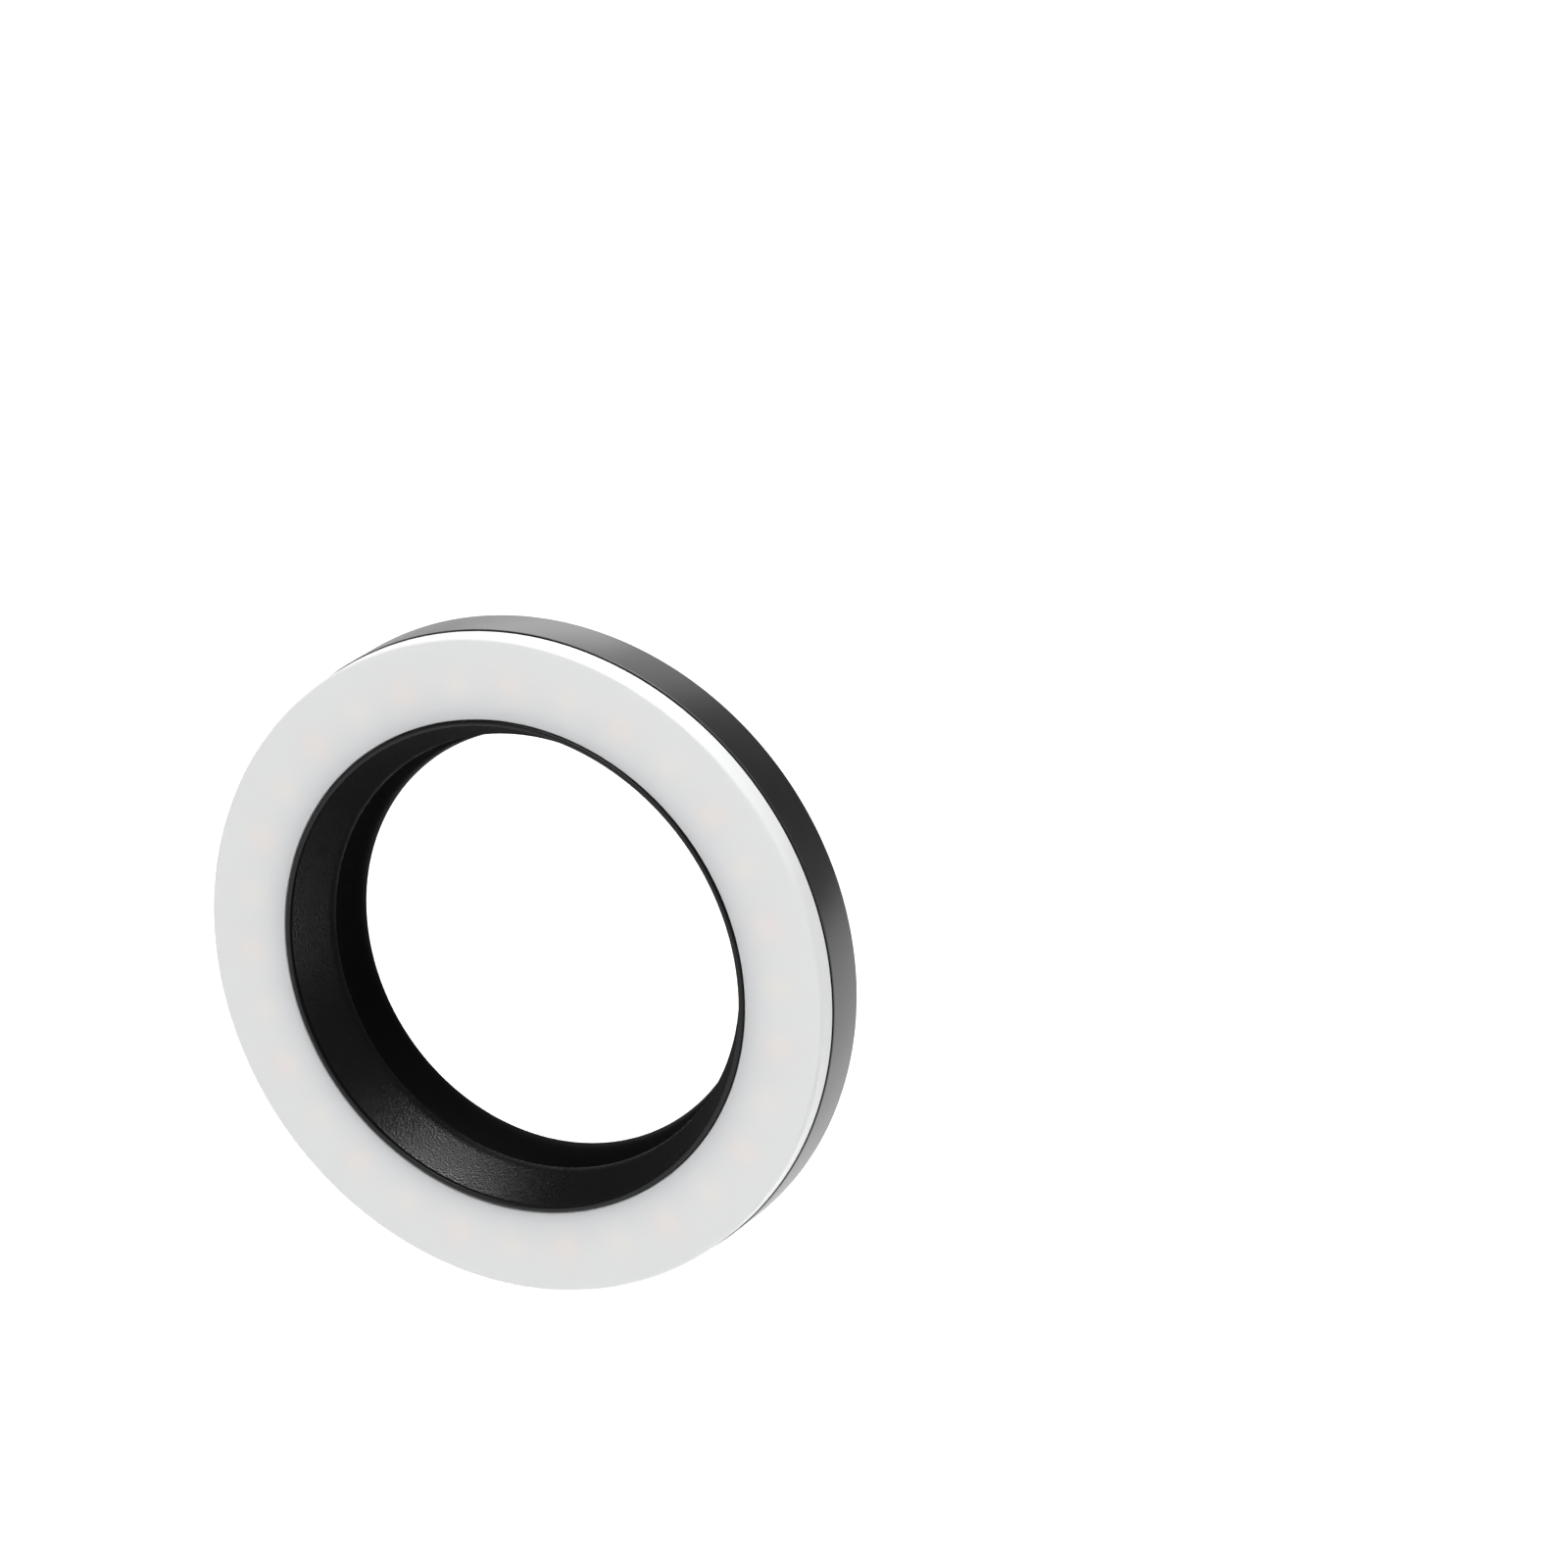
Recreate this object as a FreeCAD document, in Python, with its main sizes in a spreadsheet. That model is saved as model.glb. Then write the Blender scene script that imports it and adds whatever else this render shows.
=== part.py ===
import FreeCAD, Part
import math
import os

import Sketcher

# A ring light that screws into a 67 mm filter thread. The ring's axis is Y, its front looks
# along -Y, and the origin is on the axis in the plane where the adapter's flange seats.
# Distances "forward" are measured from that plane towards the front, so forward is -Y.
# Angles run round the axis from +X (0) over the top at +Z (90).

Vector = FreeCAD.Vector
doc = FreeCAD.newDocument("RingLight")
sheet = doc.addObject("Spreadsheet::Sheet", "Sizes")
aliases = []
pieces = []
tolerance = 1e-4


class Size:
    """A length, angle or count: its number, and its formula in the words of the sheet."""

    def __init__(self, number, formula):
        self.number = number
        self.formula = formula

    def __add__(self, other):
        return Size(self.number + number_of(other), f"({self.formula} + {formula_of(other)})")

    def __sub__(self, other):
        return Size(self.number - number_of(other), f"({self.formula} - {formula_of(other)})")

    def __mul__(self, other):
        return Size(self.number * number_of(other), f"({self.formula} * {formula_of(other)})")

    def __truediv__(self, other):
        return Size(self.number / number_of(other), f"({self.formula} / {formula_of(other)})")

    def __neg__(self):
        return Size(-self.number, f"(-{self.formula})")


def number_of(thing):
    """The plain number of a Size or of a number."""
    return thing.number if isinstance(thing, Size) else float(thing)


def formula_of(thing):
    """The formula of a Size, or a plain number as text."""
    return thing.formula if isinstance(thing, Size) else str(thing)


def size(alias, number):
    """Write one driving dimension into the sheet and give it back as a Size."""
    aliases.append(alias)
    row = len(aliases)
    sheet.set(f"A{row}", alias)
    sheet.set(f"B{row}", str(number))
    sheet.setAlias(f"B{row}", alias)
    sheet.recompute()
    return Size(float(sheet.get(alias)), f"Sizes.{alias}")


def cosine(angle):
    """Cosine of an angle in degrees."""
    return Size(math.cos(math.radians(number_of(angle))), f"cos({formula_of(angle)})")


def sine(angle):
    """Sine of an angle in degrees."""
    return Size(math.sin(math.radians(number_of(angle))), f"sin({formula_of(angle)})")


def root(value):
    """Square root."""
    return Size(math.sqrt(number_of(value)), f"sqrt({formula_of(value)})")


# Adapter ring: 67 mm filter thread, flange, sleeve that the lamp turns on
thread_diameter = size("thread_diameter", 67.0)
thread_length = size("thread_length", 2.2)
thread_chamfer = size("thread_chamfer", 0.3)
thread_wall = size("thread_wall", 3.9)
flange_margin = size("flange_margin", 0.7)
flange_thickness = size("flange_thickness", 1.55)
flute_count = size("flute_count", 24)
flute_width = size("flute_width", 1.6)
flute_depth = size("flute_depth", 0.35)
sleeve_step = size("sleeve_step", 0.9)
sleeve_wall = size("sleeve_wall", 1.6)
sleeve_chamfer = size("sleeve_chamfer", 0.2)

# Steel keeper ring in the flange and the magnets that hold the lamp on it
keeper_margin = size("keeper_margin", 0.7)
keeper_width = size("keeper_width", 1.6)
keeper_thickness = size("keeper_thickness", 0.5)
glue_gap = size("glue_gap", 0.05)
magnet_count = size("magnet_count", 12)
magnet_radius = size("magnet_radius", 1.5)
magnet_length = size("magnet_length", 1.45)
magnet_web = size("magnet_web", 0.35)
pocket_wall = size("pocket_wall", 0.4)
retainer_thickness = size("retainer_thickness", 0.45)
retainer_margin = size("retainer_margin", 0.3)

# Running gaps between the lamp and the adapter
journal_clearance = size("journal_clearance", 0.05)
seat_gap = size("seat_gap", 0.1)
flange_clearance = size("flange_clearance", 0.3)
lens_gap = size("lens_gap", 0.2)
seam_gap = size("seam_gap", 0.15)

# Housing: hub, floor and band, with the ring-shaped space between hub and band
hub_wall = size("hub_wall", 1.0)
cavity_width = size("cavity_width", 8.4)
band_wall = size("band_wall", 1.2)
band_chamfer = size("band_chamfer", 0.5)
rim_step = size("rim_step", 0.62)
floor_thickness = size("floor_thickness", 1.0)
pillar_count = size("pillar_count", 6)
pillar_inset = size("pillar_inset", 2.9)
pillar_radius = size("pillar_radius", 2.0)

# Diffuser, its gasket, and the bezel with lip and funnel
gasket_thickness = size("gasket_thickness", 0.35)
gasket_width = size("gasket_width", 0.75)
diffuser_step = size("diffuser_step", 0.15)
diffuser_height = size("diffuser_height", 3.35)
diffuser_plate = size("diffuser_plate", 1.6)
diffuser_round = size("diffuser_round", 0.5)
diffuser_overhang = size("diffuser_overhang", 1.95)
diffuser_inner_round = size("diffuser_inner_round", 0.25)
skirt_clearance = size("skirt_clearance", 0.2)
skirt_wall = size("skirt_wall", 0.8)
lip_proud = size("lip_proud", 0.2)
lip_gap = size("lip_gap", 0.1)
lip_width = size("lip_width", 0.78)
lip_depth = size("lip_depth", 0.7)
lip_round = size("lip_round", 0.35)
ledge_width = size("ledge_width", 0.45)
ledge_thickness = size("ledge_thickness", 1.2)
funnel_land = size("funnel_land", 0.95)
funnel_round = size("funnel_round", 3.0)
bezel_wall = size("bezel_wall", 1.6)
bezel_flange = size("bezel_flange", 1.2)
bezel_boss_radius = size("bezel_boss_radius", 1.6)
bezel_boss_cap = size("bezel_boss_cap", 0.2)

# LED board, LEDs and the white well round them
board_thickness = size("board_thickness", 0.8)
board_clearance = size("board_clearance", 0.3)
led_pairs = size("led_pairs", 15)
led_phase = size("led_phase", 6)
led_length = size("led_length", 3.5)
led_width = size("led_width", 2.8)
led_thickness = size("led_thickness", 0.7)
window_clearance = size("window_clearance", 0.3)
well_wall = size("well_wall", 0.5)
well_gap = size("well_gap", 0.2)

# Screws: thread radius, head radius and head thickness of the small machine screws
screw_radius = size("screw_radius", 0.7)
screw_head_radius = size("screw_head_radius", 1.3)
screw_head = size("screw_head", 0.8)
screw_grip = size("screw_grip", 3.0)
screw_clearance = size("screw_clearance", 0.1)
thread_gap = size("thread_gap", 0.05)
head_clearance = size("head_clearance", 0.25)
bezel_screw_grip = size("bezel_screw_grip", 1.55)

# Battery cells and the strip that joins them
cell_count = size("cell_count", 4)
cell_length = size("cell_length", 26.0)
cell_clearance = size("cell_clearance", 0.4)
cell_round = size("cell_round", 1.0)
tape_thickness = size("tape_thickness", 0.3)
tape_margin = size("tape_margin", 1.0)
strip_thickness = size("strip_thickness", 0.2)
strip_width = size("strip_width", 1.6)
strip_overlap = size("strip_overlap", 14)
strip_clearance = size("strip_clearance", 0.6)

# Control board and what stands on it
control_angle = size("control_angle", 240)
control_board_thickness = size("control_board_thickness", 0.8)
control_board_gap = size("control_board_gap", 0.5)
control_board_margin = size("control_board_margin", 0.5)
boss_radius = size("boss_radius", 1.7)
boss_step = size("boss_step", 2.5)
boss_screw_grip = size("boss_screw_grip", 1.0)
first_boss_angle = size("first_boss_angle", 187)
middle_boss_angle = size("middle_boss_angle", 246.2)
last_boss_angle = size("last_boss_angle", 279.8)
chip_side = size("chip_side", 3.0)
chip_thickness = size("chip_thickness", 0.8)
driver_chip_angle = size("driver_chip_angle", 203)
charge_chip_angle = size("charge_chip_angle", 217)
chip_step = size("chip_step", 2.3)
coil_side = size("coil_side", 3.2)
coil_height = size("coil_height", 1.8)
coil_angle = size("coil_angle", 292)
coil_step = size("coil_step", 1.3)
header_angle = size("header_angle", 232)
header_step = size("header_step", 1.3)
header_length = size("header_length", 4.6)
header_width = size("header_width", 2.5)
plug_step = size("plug_step", 0.7)
plug_depth = size("plug_depth", 2.0)
plug_width = size("plug_width", 3.0)
plug_shift = size("plug_shift", 2.5)

# Keys and their switches
brighter_angle = size("brighter_angle", 196)
colour_angle = size("colour_angle", 210)
dimmer_angle = size("dimmer_angle", 224)
power_angle = size("power_angle", 252)
key_length = size("key_length", 6.4)
key_width = size("key_width", 2.6)
key_proud = size("key_proud", 0.6)
key_round = size("key_round", 0.4)
key_clearance = size("key_clearance", 0.2)
key_flange = size("key_flange", 0.5)
key_flange_thickness = size("key_flange_thickness", 0.8)
key_seat_gap = size("key_seat_gap", 0.35)
key_board_gap = size("key_board_gap", 0.55)
key_top_gap = size("key_top_gap", 0.25)
switch_depth = size("switch_depth", 2.8)
switch_length = size("switch_length", 4.4)
switch_height = size("switch_height", 3.2)
plunger_reach = size("plunger_reach", 1.35)
plunger_length = size("plunger_length", 1.6)
plunger_width = size("plunger_width", 1.2)
plunger_overlap = size("plunger_overlap", 1.2)
plunger_travel = size("plunger_travel", 0.4)
plunger_clearance = size("plunger_clearance", 0.15)

# Charging inlet and the status window
usb_angle = size("usb_angle", 270)
usb_width = size("usb_width", 8.94)
usb_height = size("usb_height", 3.26)
usb_depth = size("usb_depth", 7.35)
usb_wall = size("usb_wall", 0.3)
usb_recess = size("usb_recess", 0.3)
usb_back = size("usb_back", 0.5)
usb_clearance = size("usb_clearance", 0.15)
tongue_width = size("tongue_width", 6.7)
tongue_thickness = size("tongue_thickness", 0.7)
tongue_length = size("tongue_length", 5.0)
tongue_block = size("tongue_block", 1.2)
status_angle = size("status_angle", 286)
status_length = size("status_length", 6.4)
status_width = size("status_width", 1.2)
status_recess = size("status_recess", 0.1)
status_clearance = size("status_clearance", 0.05)
status_block_depth = size("status_block_depth", 1.4)
status_block_gap = size("status_block_gap", 0.2)
status_led_count = 4
status_led_pitch = size("status_led_pitch", 1.6)
status_led_side = size("status_led_side", 0.8)
status_led_height = size("status_led_height", 0.6)

# Stations along the axis, as distances forward of the flange's seat
lens_seat = 0
flange_front = flange_thickness
lamp_back = lens_gap
floor_front = lamp_back + floor_thickness
seat = flange_front + seat_gap
magnet_back = seat + magnet_web
hub_front = magnet_back + magnet_length + glue_gap
bezel_back = hub_front + retainer_thickness
sleeve_front = bezel_back - seam_gap
control_back = floor_front + control_board_gap
control_front = control_back + control_board_thickness
control_middle = control_front + usb_height / 2
board_back = control_middle + key_width / 2 + key_flange + key_top_gap
board_front = board_back + board_thickness
cell_back = floor_front + tape_thickness
cell_front = board_back - strip_clearance - strip_thickness
rim_front = board_front + rim_step
shoulder = rim_front + gasket_thickness
diffuser_front = shoulder + diffuser_height
diffuser_back = diffuser_front - diffuser_plate
lip_front = diffuser_front + lip_proud

# Radii, from the thread outwards
thread_radius = thread_diameter / 2
bore_rear_radius = thread_radius - thread_wall
sleeve_radius = thread_radius - sleeve_step
bore_front_radius = sleeve_radius - sleeve_wall
keeper_inner_radius = sleeve_radius + keeper_margin
keeper_outer_radius = keeper_inner_radius + keeper_width
flange_radius = keeper_outer_radius + flange_margin
journal_radius = sleeve_radius + journal_clearance
magnet_circle = journal_radius + pocket_wall + magnet_radius + glue_gap
recess_radius = flange_radius + flange_clearance
hub_radius = recess_radius + hub_wall
band_inner_radius = hub_radius + cavity_width
band_radius = band_inner_radius + band_wall
diffuser_radius = band_radius - diffuser_step
diffuser_inner_radius = hub_radius - diffuser_overhang
skirt_radius = band_inner_radius - skirt_clearance
skirt_inner_radius = skirt_radius - skirt_wall
lip_outer_radius = diffuser_inner_radius - lip_gap
lip_inner_radius = lip_outer_radius - lip_width
ledge_radius = diffuser_inner_radius + ledge_width
board_inner_radius = ledge_radius + board_clearance
board_outer_radius = band_inner_radius - cell_clearance
led_circle = (board_inner_radius + board_outer_radius) / 2
pillar_circle = board_outer_radius - pillar_inset
boss_circle = hub_radius + boss_step
key_flange_far = band_inner_radius - key_seat_gap
key_flange_near = key_flange_far - key_flange_thickness
control_board_radius = key_flange_near - plunger_travel - key_board_gap
switch_front_radius = key_flange_near - plunger_reach
pillar_pitch = Size(360, "360") / pillar_count
magnet_phase = Size(180, "180") / magnet_count
bezel_flange_front = bezel_back + bezel_flange
bezel_head_front = seat + screw_head + screw_clearance
outside = band_radius + band_wall
wall_cut = band_wall * 3
degrees_per_radian = 180 / math.pi
boss_angles = (first_boss_angle, middle_boss_angle, last_boss_angle)
key_angles = {
    "brighter": brighter_angle,
    "colour": colour_angle,
    "dimmer": dimmer_angle,
    "power": power_angle,
}


def number_pair(corner):
    """A sketch point as a vector of plain numbers."""
    return Vector(number_of(corner[0]), number_of(corner[1]), 0)


def bind(thing, path, value):
    """Tie one property or constraint to its formula."""
    thing.setExpression(path, formula_of(value))


def polar(radius, angle):
    """A point at a radius and an angle round the ring, as X and Z."""
    return radius * cosine(angle), radius * sine(angle)


def beside(radius, side, angle):
    """A point at a radius and a sideways step, turned to its angle round the ring."""
    turn_x = cosine(angle)
    turn_z = sine(angle)
    return radius * turn_x - side * turn_z, radius * turn_z + side * turn_x


def new_body(label, angle=None):
    """A new solid piece, turned round the ring to its angle if it has one."""
    body = doc.addObject("PartDesign::Body", "Body")
    body.Label = label
    if angle is not None:
        body.Placement = FreeCAD.Placement(Vector(), FreeCAD.Rotation(Vector(0, -1, 0), 1))
        bind(body, "Placement.Rotation.Angle", angle)
    pieces.append(body)
    return body


def origin_part(body, role):
    """One of the body's own planes or axes."""
    return next(part for part in body.Origin.OriginFeatures if part.Role == role)


def new_sketch(body, role, offset=0):
    """A sketch on one of the body's own planes, shifted along the plane's normal."""
    sketch = body.newObject("Sketcher::SketchObject", "Sketch")
    sketch.AttachmentSupport = (origin_part(body, role), "")
    sketch.MapMode = "FlatFace"
    bind(sketch, "AttachmentOffset.Base.z", offset)
    return sketch


def front_sketch(body, forward):
    """A sketch across the ring's axis at a distance forward; its axes are X and Z."""
    return new_sketch(body, "XZ_Plane", forward)


def side_sketch(body, radius, angle=None):
    """A sketch square to a radius of the ring; its axes are Y and the sideways direction."""
    sketch = new_sketch(body, "YZ_Plane", radius)
    if angle is not None:
        sketch.AttachmentOffset = FreeCAD.Placement(Vector(), FreeCAD.Rotation(Vector(-1, 0, 0), 1))
        bind(sketch, "AttachmentOffset.Rotation.Angle", angle)
        bind(sketch, "AttachmentOffset.Base.y", radius * sine(angle))
        bind(sketch, "AttachmentOffset.Base.z", radius * cosine(angle))
    return sketch


def hold(sketch, item, end, place):
    """Hold one point of a sketch at its place from the sketch's origin."""
    for kind, value in zip(("DistanceX", "DistanceY"), place):
        constraint = Sketcher.Constraint(kind, -1, 1, item, end, number_of(value))
        index = sketch.addConstraint(constraint)
        bind(sketch, f"Constraints[{index}]", value)


def outline(sketch, corners):
    """Draw a closed outline with straight sides, each corner held by two distances."""
    first = sketch.GeometryCount
    count = len(corners)
    for index in range(count):
        start = number_pair(corners[index])
        end = number_pair(corners[(index + 1) % count])
        sketch.addGeometry(Part.LineSegment(start, end))
    for index in range(count):
        following = first + (index + 1) % count
        sketch.addConstraint(Sketcher.Constraint("Coincident", first + index, 2, following, 1))
        hold(sketch, first + index, 1, corners[index])


def rectangle(sketch, low_x, high_x, low_y, high_y):
    """Draw a rectangle between two values across and two values up."""
    outline(sketch, [(low_x, low_y), (high_x, low_y), (high_x, high_y), (low_x, high_y)])


def circle(sketch, place, radius):
    """Draw a circle with its centre held by two distances."""
    centre = number_pair(place)
    item = sketch.addGeometry(Part.Circle(centre, Vector(0, 0, 1), number_of(radius)))
    hold(sketch, item, 3, place)
    index = sketch.addConstraint(Sketcher.Constraint("Radius", item, number_of(radius)))
    bind(sketch, f"Constraints[{index}]", radius)


def pill(sketch, across, length, width):
    """Draw a long hole with round ends, centred at a distance across, its length running up."""
    radius = width / 2
    reach = length / 2 - radius
    middle = number_of(across)
    end = number_of(reach)
    bow = number_of(radius)
    upper = Part.Circle(Vector(middle, end, 0), Vector(0, 0, 1), bow)
    lower = Part.Circle(Vector(middle, -end, 0), Vector(0, 0, 1), bow)
    top = sketch.addGeometry(Part.ArcOfCircle(upper, 0, math.pi))
    left = sketch.addGeometry(Part.LineSegment(Vector(middle - bow, end, 0), Vector(middle - bow, -end, 0)))
    bottom = sketch.addGeometry(Part.ArcOfCircle(lower, math.pi, 2 * math.pi))
    right = sketch.addGeometry(Part.LineSegment(Vector(middle + bow, -end, 0), Vector(middle + bow, end, 0)))
    for before, after in ((top, left), (left, bottom), (bottom, right), (right, top)):
        sketch.addConstraint(Sketcher.Constraint("Tangent", before, 2, after, 1))
    sketch.addConstraint(Sketcher.Constraint("Equal", top, bottom))
    index = sketch.addConstraint(Sketcher.Constraint("Radius", top, bow))
    bind(sketch, f"Constraints[{index}]", radius)
    hold(sketch, top, 3, (across, reach))
    hold(sketch, bottom, 3, (across, -reach))


def pad(body, sketch, length):
    """Raise a sketch along its normal: forward from a front sketch, outwards from a side sketch."""
    feature = body.newObject("PartDesign::Pad", "Pad")
    feature.Profile = sketch
    bind(feature, "Length", length)
    doc.recompute()
    return feature


def cut(body, sketch, length, along_normal=False):
    """Cut a sketch into the piece against its normal, or along it, and check that it cuts."""
    before = body.Shape.Volume
    feature = body.newObject("PartDesign::Pocket", "Pocket")
    feature.Profile = sketch
    feature.Reversed = along_normal
    bind(feature, "Length", length)
    doc.recompute()
    if body.Shape.Volume > before - tolerance:
        raise ValueError(f"a pocket of {body.Label} removes nothing")
    return feature


def turn(body, section, angle=None):
    """Turn a section of (radius, forward) corners about the ring's axis, all round or through an angle."""
    sketch = new_sketch(body, "XY_Plane")
    outline(sketch, [(radius, -forward) for radius, forward in section])
    feature = body.newObject("PartDesign::Revolution", "Turn")
    feature.Profile = sketch
    feature.ReferenceAxis = (sketch, ["V_Axis"])
    feature.Angle = 360
    if angle is not None:
        feature.Midplane = True
        bind(feature, "Angle", angle)
    doc.recompute()
    return feature


def around(body, feature, count, pitch=None):
    """Repeat a feature round the ring's axis, evenly, or at a pitch with falling angles."""
    pattern = body.newObject("PartDesign::PolarPattern", "Around")
    pattern.Originals = [feature]
    pattern.Axis = (origin_part(body, "Y_Axis"), [""])
    pattern.Angle = 360
    if pitch is not None:
        pattern.Mode = "Spacing"
        bind(pattern, "Offset", pitch)
    bind(pattern, "Occurrences", count)
    body.Tip = pattern
    doc.recompute()
    return pattern


def edges_round_axis(shape, radius, forward):
    """Names of the edges that run round the ring's axis at a radius and a distance forward."""
    names = []
    for number, edge in enumerate(shape.Edges, start=1):
        curve = edge.Curve
        if not isinstance(curve, Part.Circle):
            continue
        same_radius = abs(curve.Radius - number_of(radius)) < tolerance
        same_height = abs(curve.Center.y + number_of(forward)) < tolerance
        if same_radius and same_height:
            names.append(f"Edge{number}")
    return names


def edges_at_reach(shape, reach):
    """Names of the edges that lie in the plane at a distance out along X."""
    names = []
    for number, edge in enumerate(shape.Edges, start=1):
        box = edge.BoundBox
        if abs(box.XMin - number_of(reach)) < tolerance and abs(box.XMax - number_of(reach)) < tolerance:
            names.append(f"Edge{number}")
    return names


def round_off(body, feature, names, radius):
    """Round edges of a feature."""
    fillet = body.newObject("PartDesign::Fillet", "Round")
    fillet.Base = (feature, names)
    bind(fillet, "Radius", radius)
    doc.recompute()
    return fillet


def block(label, near, depth, width, back, height, angle):
    """A plain component body: depth along the radius, width sideways, height forward."""
    box = doc.addObject("Part::Box", "Box")
    box.Label = label
    corner_x, corner_z = beside(near, -(width / 2), angle)
    box.Placement = FreeCAD.Placement(Vector(), FreeCAD.Rotation(Vector(0, -1, 0), 1))
    bind(box, "Length", depth)
    bind(box, "Width", height)
    bind(box, "Height", width)
    bind(box, "Placement.Rotation.Angle", angle)
    bind(box, "Placement.Base.x", corner_x)
    bind(box, "Placement.Base.y", -(back + height))
    bind(box, "Placement.Base.z", corner_z)
    pieces.append(box)


# Adapter ring, turned from aluminium: thread behind, flange, sleeve, tapering bore
adapter_ring = new_body("adapter_ring")
turn(adapter_ring, [
    (bore_front_radius + sleeve_chamfer, sleeve_front),
    (sleeve_radius - sleeve_chamfer, sleeve_front),
    (sleeve_radius, sleeve_front - sleeve_chamfer),
    (sleeve_radius, flange_front),
    (keeper_inner_radius - glue_gap, flange_front),
    (keeper_inner_radius - glue_gap, flange_front - keeper_thickness),
    (keeper_outer_radius + glue_gap, flange_front - keeper_thickness),
    (keeper_outer_radius + glue_gap, flange_front),
    (flange_radius, flange_front),
    (flange_radius, lens_seat),
    (thread_radius, lens_seat),
    (thread_radius, thread_chamfer - thread_length),
    (thread_radius - thread_chamfer, -thread_length),
    (bore_rear_radius, -thread_length),
    (bore_front_radius, sleeve_front - sleeve_chamfer),
])
flute = front_sketch(adapter_ring, flange_front)
rectangle(flute, flange_radius - flute_depth, flange_radius + flute_depth, -flute_width / 2, flute_width / 2)
around(adapter_ring, cut(adapter_ring, flute, flange_thickness), flute_count)

# Keeper: flat steel ring glued into the flange's groove, flush with its front
keeper_ring = new_body("keeper_ring")
turn(keeper_ring, [
    (keeper_inner_radius, flange_front),
    (keeper_outer_radius, flange_front),
    (keeper_outer_radius, flange_front - keeper_thickness),
    (keeper_inner_radius, flange_front - keeper_thickness),
])

# Housing: a tray with the outer band, a closed back and a hub that turns on the sleeve
rear_housing = new_body("rear_housing")
turn(rear_housing, [
    (band_radius, rim_front),
    (band_radius, lamp_back + band_chamfer),
    (band_radius - band_chamfer, lamp_back),
    (recess_radius, lamp_back),
    (recess_radius, seat),
    (journal_radius, seat),
    (journal_radius, hub_front),
    (hub_radius, hub_front),
    (hub_radius, floor_front),
    (band_inner_radius, floor_front),
    (band_inner_radius, rim_front),
])
pillar = front_sketch(rear_housing, lamp_back + floor_thickness / 2)
circle(pillar, (pillar_circle, 0), pillar_radius)
around(rear_housing, pad(rear_housing, pillar, board_back - lamp_back - floor_thickness / 2), pillar_count)
boss = front_sketch(rear_housing, lamp_back + floor_thickness / 2)
for boss_angle in boss_angles:
    circle(boss, polar(boss_circle, boss_angle), boss_radius)
pad(rear_housing, boss, control_back - lamp_back - floor_thickness / 2)

pillar_hole = front_sketch(rear_housing, board_back)
circle(pillar_hole, (pillar_circle, 0), screw_radius + thread_gap)
around(rear_housing, cut(rear_housing, pillar_hole, screw_grip + screw_clearance), pillar_count)
boss_hole = front_sketch(rear_housing, control_back)
for boss_angle in boss_angles:
    circle(boss_hole, polar(boss_circle, boss_angle), screw_radius + thread_gap)
cut(rear_housing, boss_hole, boss_screw_grip + screw_clearance)

magnet_pocket = front_sketch(rear_housing, hub_front)
circle(magnet_pocket, polar(magnet_circle, magnet_phase), magnet_radius + glue_gap)
around(rear_housing, cut(rear_housing, magnet_pocket, hub_front - magnet_back), magnet_count)
bezel_screw_hole = front_sketch(rear_housing, hub_front)
circle(bezel_screw_hole, (magnet_circle, 0), screw_radius + screw_clearance)
around(rear_housing, cut(rear_housing, bezel_screw_hole, hub_front - seat), pillar_count)
counterbore = front_sketch(rear_housing, seat)
circle(counterbore, (magnet_circle, 0), screw_head_radius + screw_clearance)
around(rear_housing, cut(rear_housing, counterbore, bezel_head_front - seat, along_normal=True), pillar_count)

for key_angle in key_angles.values():
    key_opening = side_sketch(rear_housing, outside, key_angle)
    pill(key_opening, -control_middle, key_length + key_clearance * 2, key_width + key_clearance * 2)
    cut(rear_housing, key_opening, wall_cut)
usb_opening = side_sketch(rear_housing, outside, usb_angle)
pill(usb_opening, -control_middle, usb_width + usb_clearance * 2, usb_height + usb_clearance * 2)
cut(rear_housing, usb_opening, wall_cut)
status_opening = side_sketch(rear_housing, outside, status_angle)
pill(status_opening, -control_middle, status_length + status_clearance * 2, status_width + status_clearance * 2)
cut(rear_housing, status_opening, wall_cut)

# Magnets: discs pressed against the thin web in front of the keeper
magnets = new_body("magnets")
magnet = front_sketch(magnets, magnet_back)
circle(magnet, polar(magnet_circle, magnet_phase), magnet_radius)
around(magnets, pad(magnets, magnet, magnet_length), magnet_count)

# Retainer: thin ring over the magnet pockets, clamped under the bezel
magnet_retainer = new_body("magnet_retainer")
turn(magnet_retainer, [
    (journal_radius + retainer_margin, hub_front),
    (hub_radius - retainer_margin, hub_front),
    (hub_radius - retainer_margin, bezel_back),
    (journal_radius + retainer_margin, bezel_back),
])
retainer_hole = front_sketch(magnet_retainer, bezel_back)
circle(retainer_hole, (magnet_circle, 0), screw_radius + screw_clearance)
around(magnet_retainer, cut(magnet_retainer, retainer_hole, retainer_thickness), pillar_count)

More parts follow.
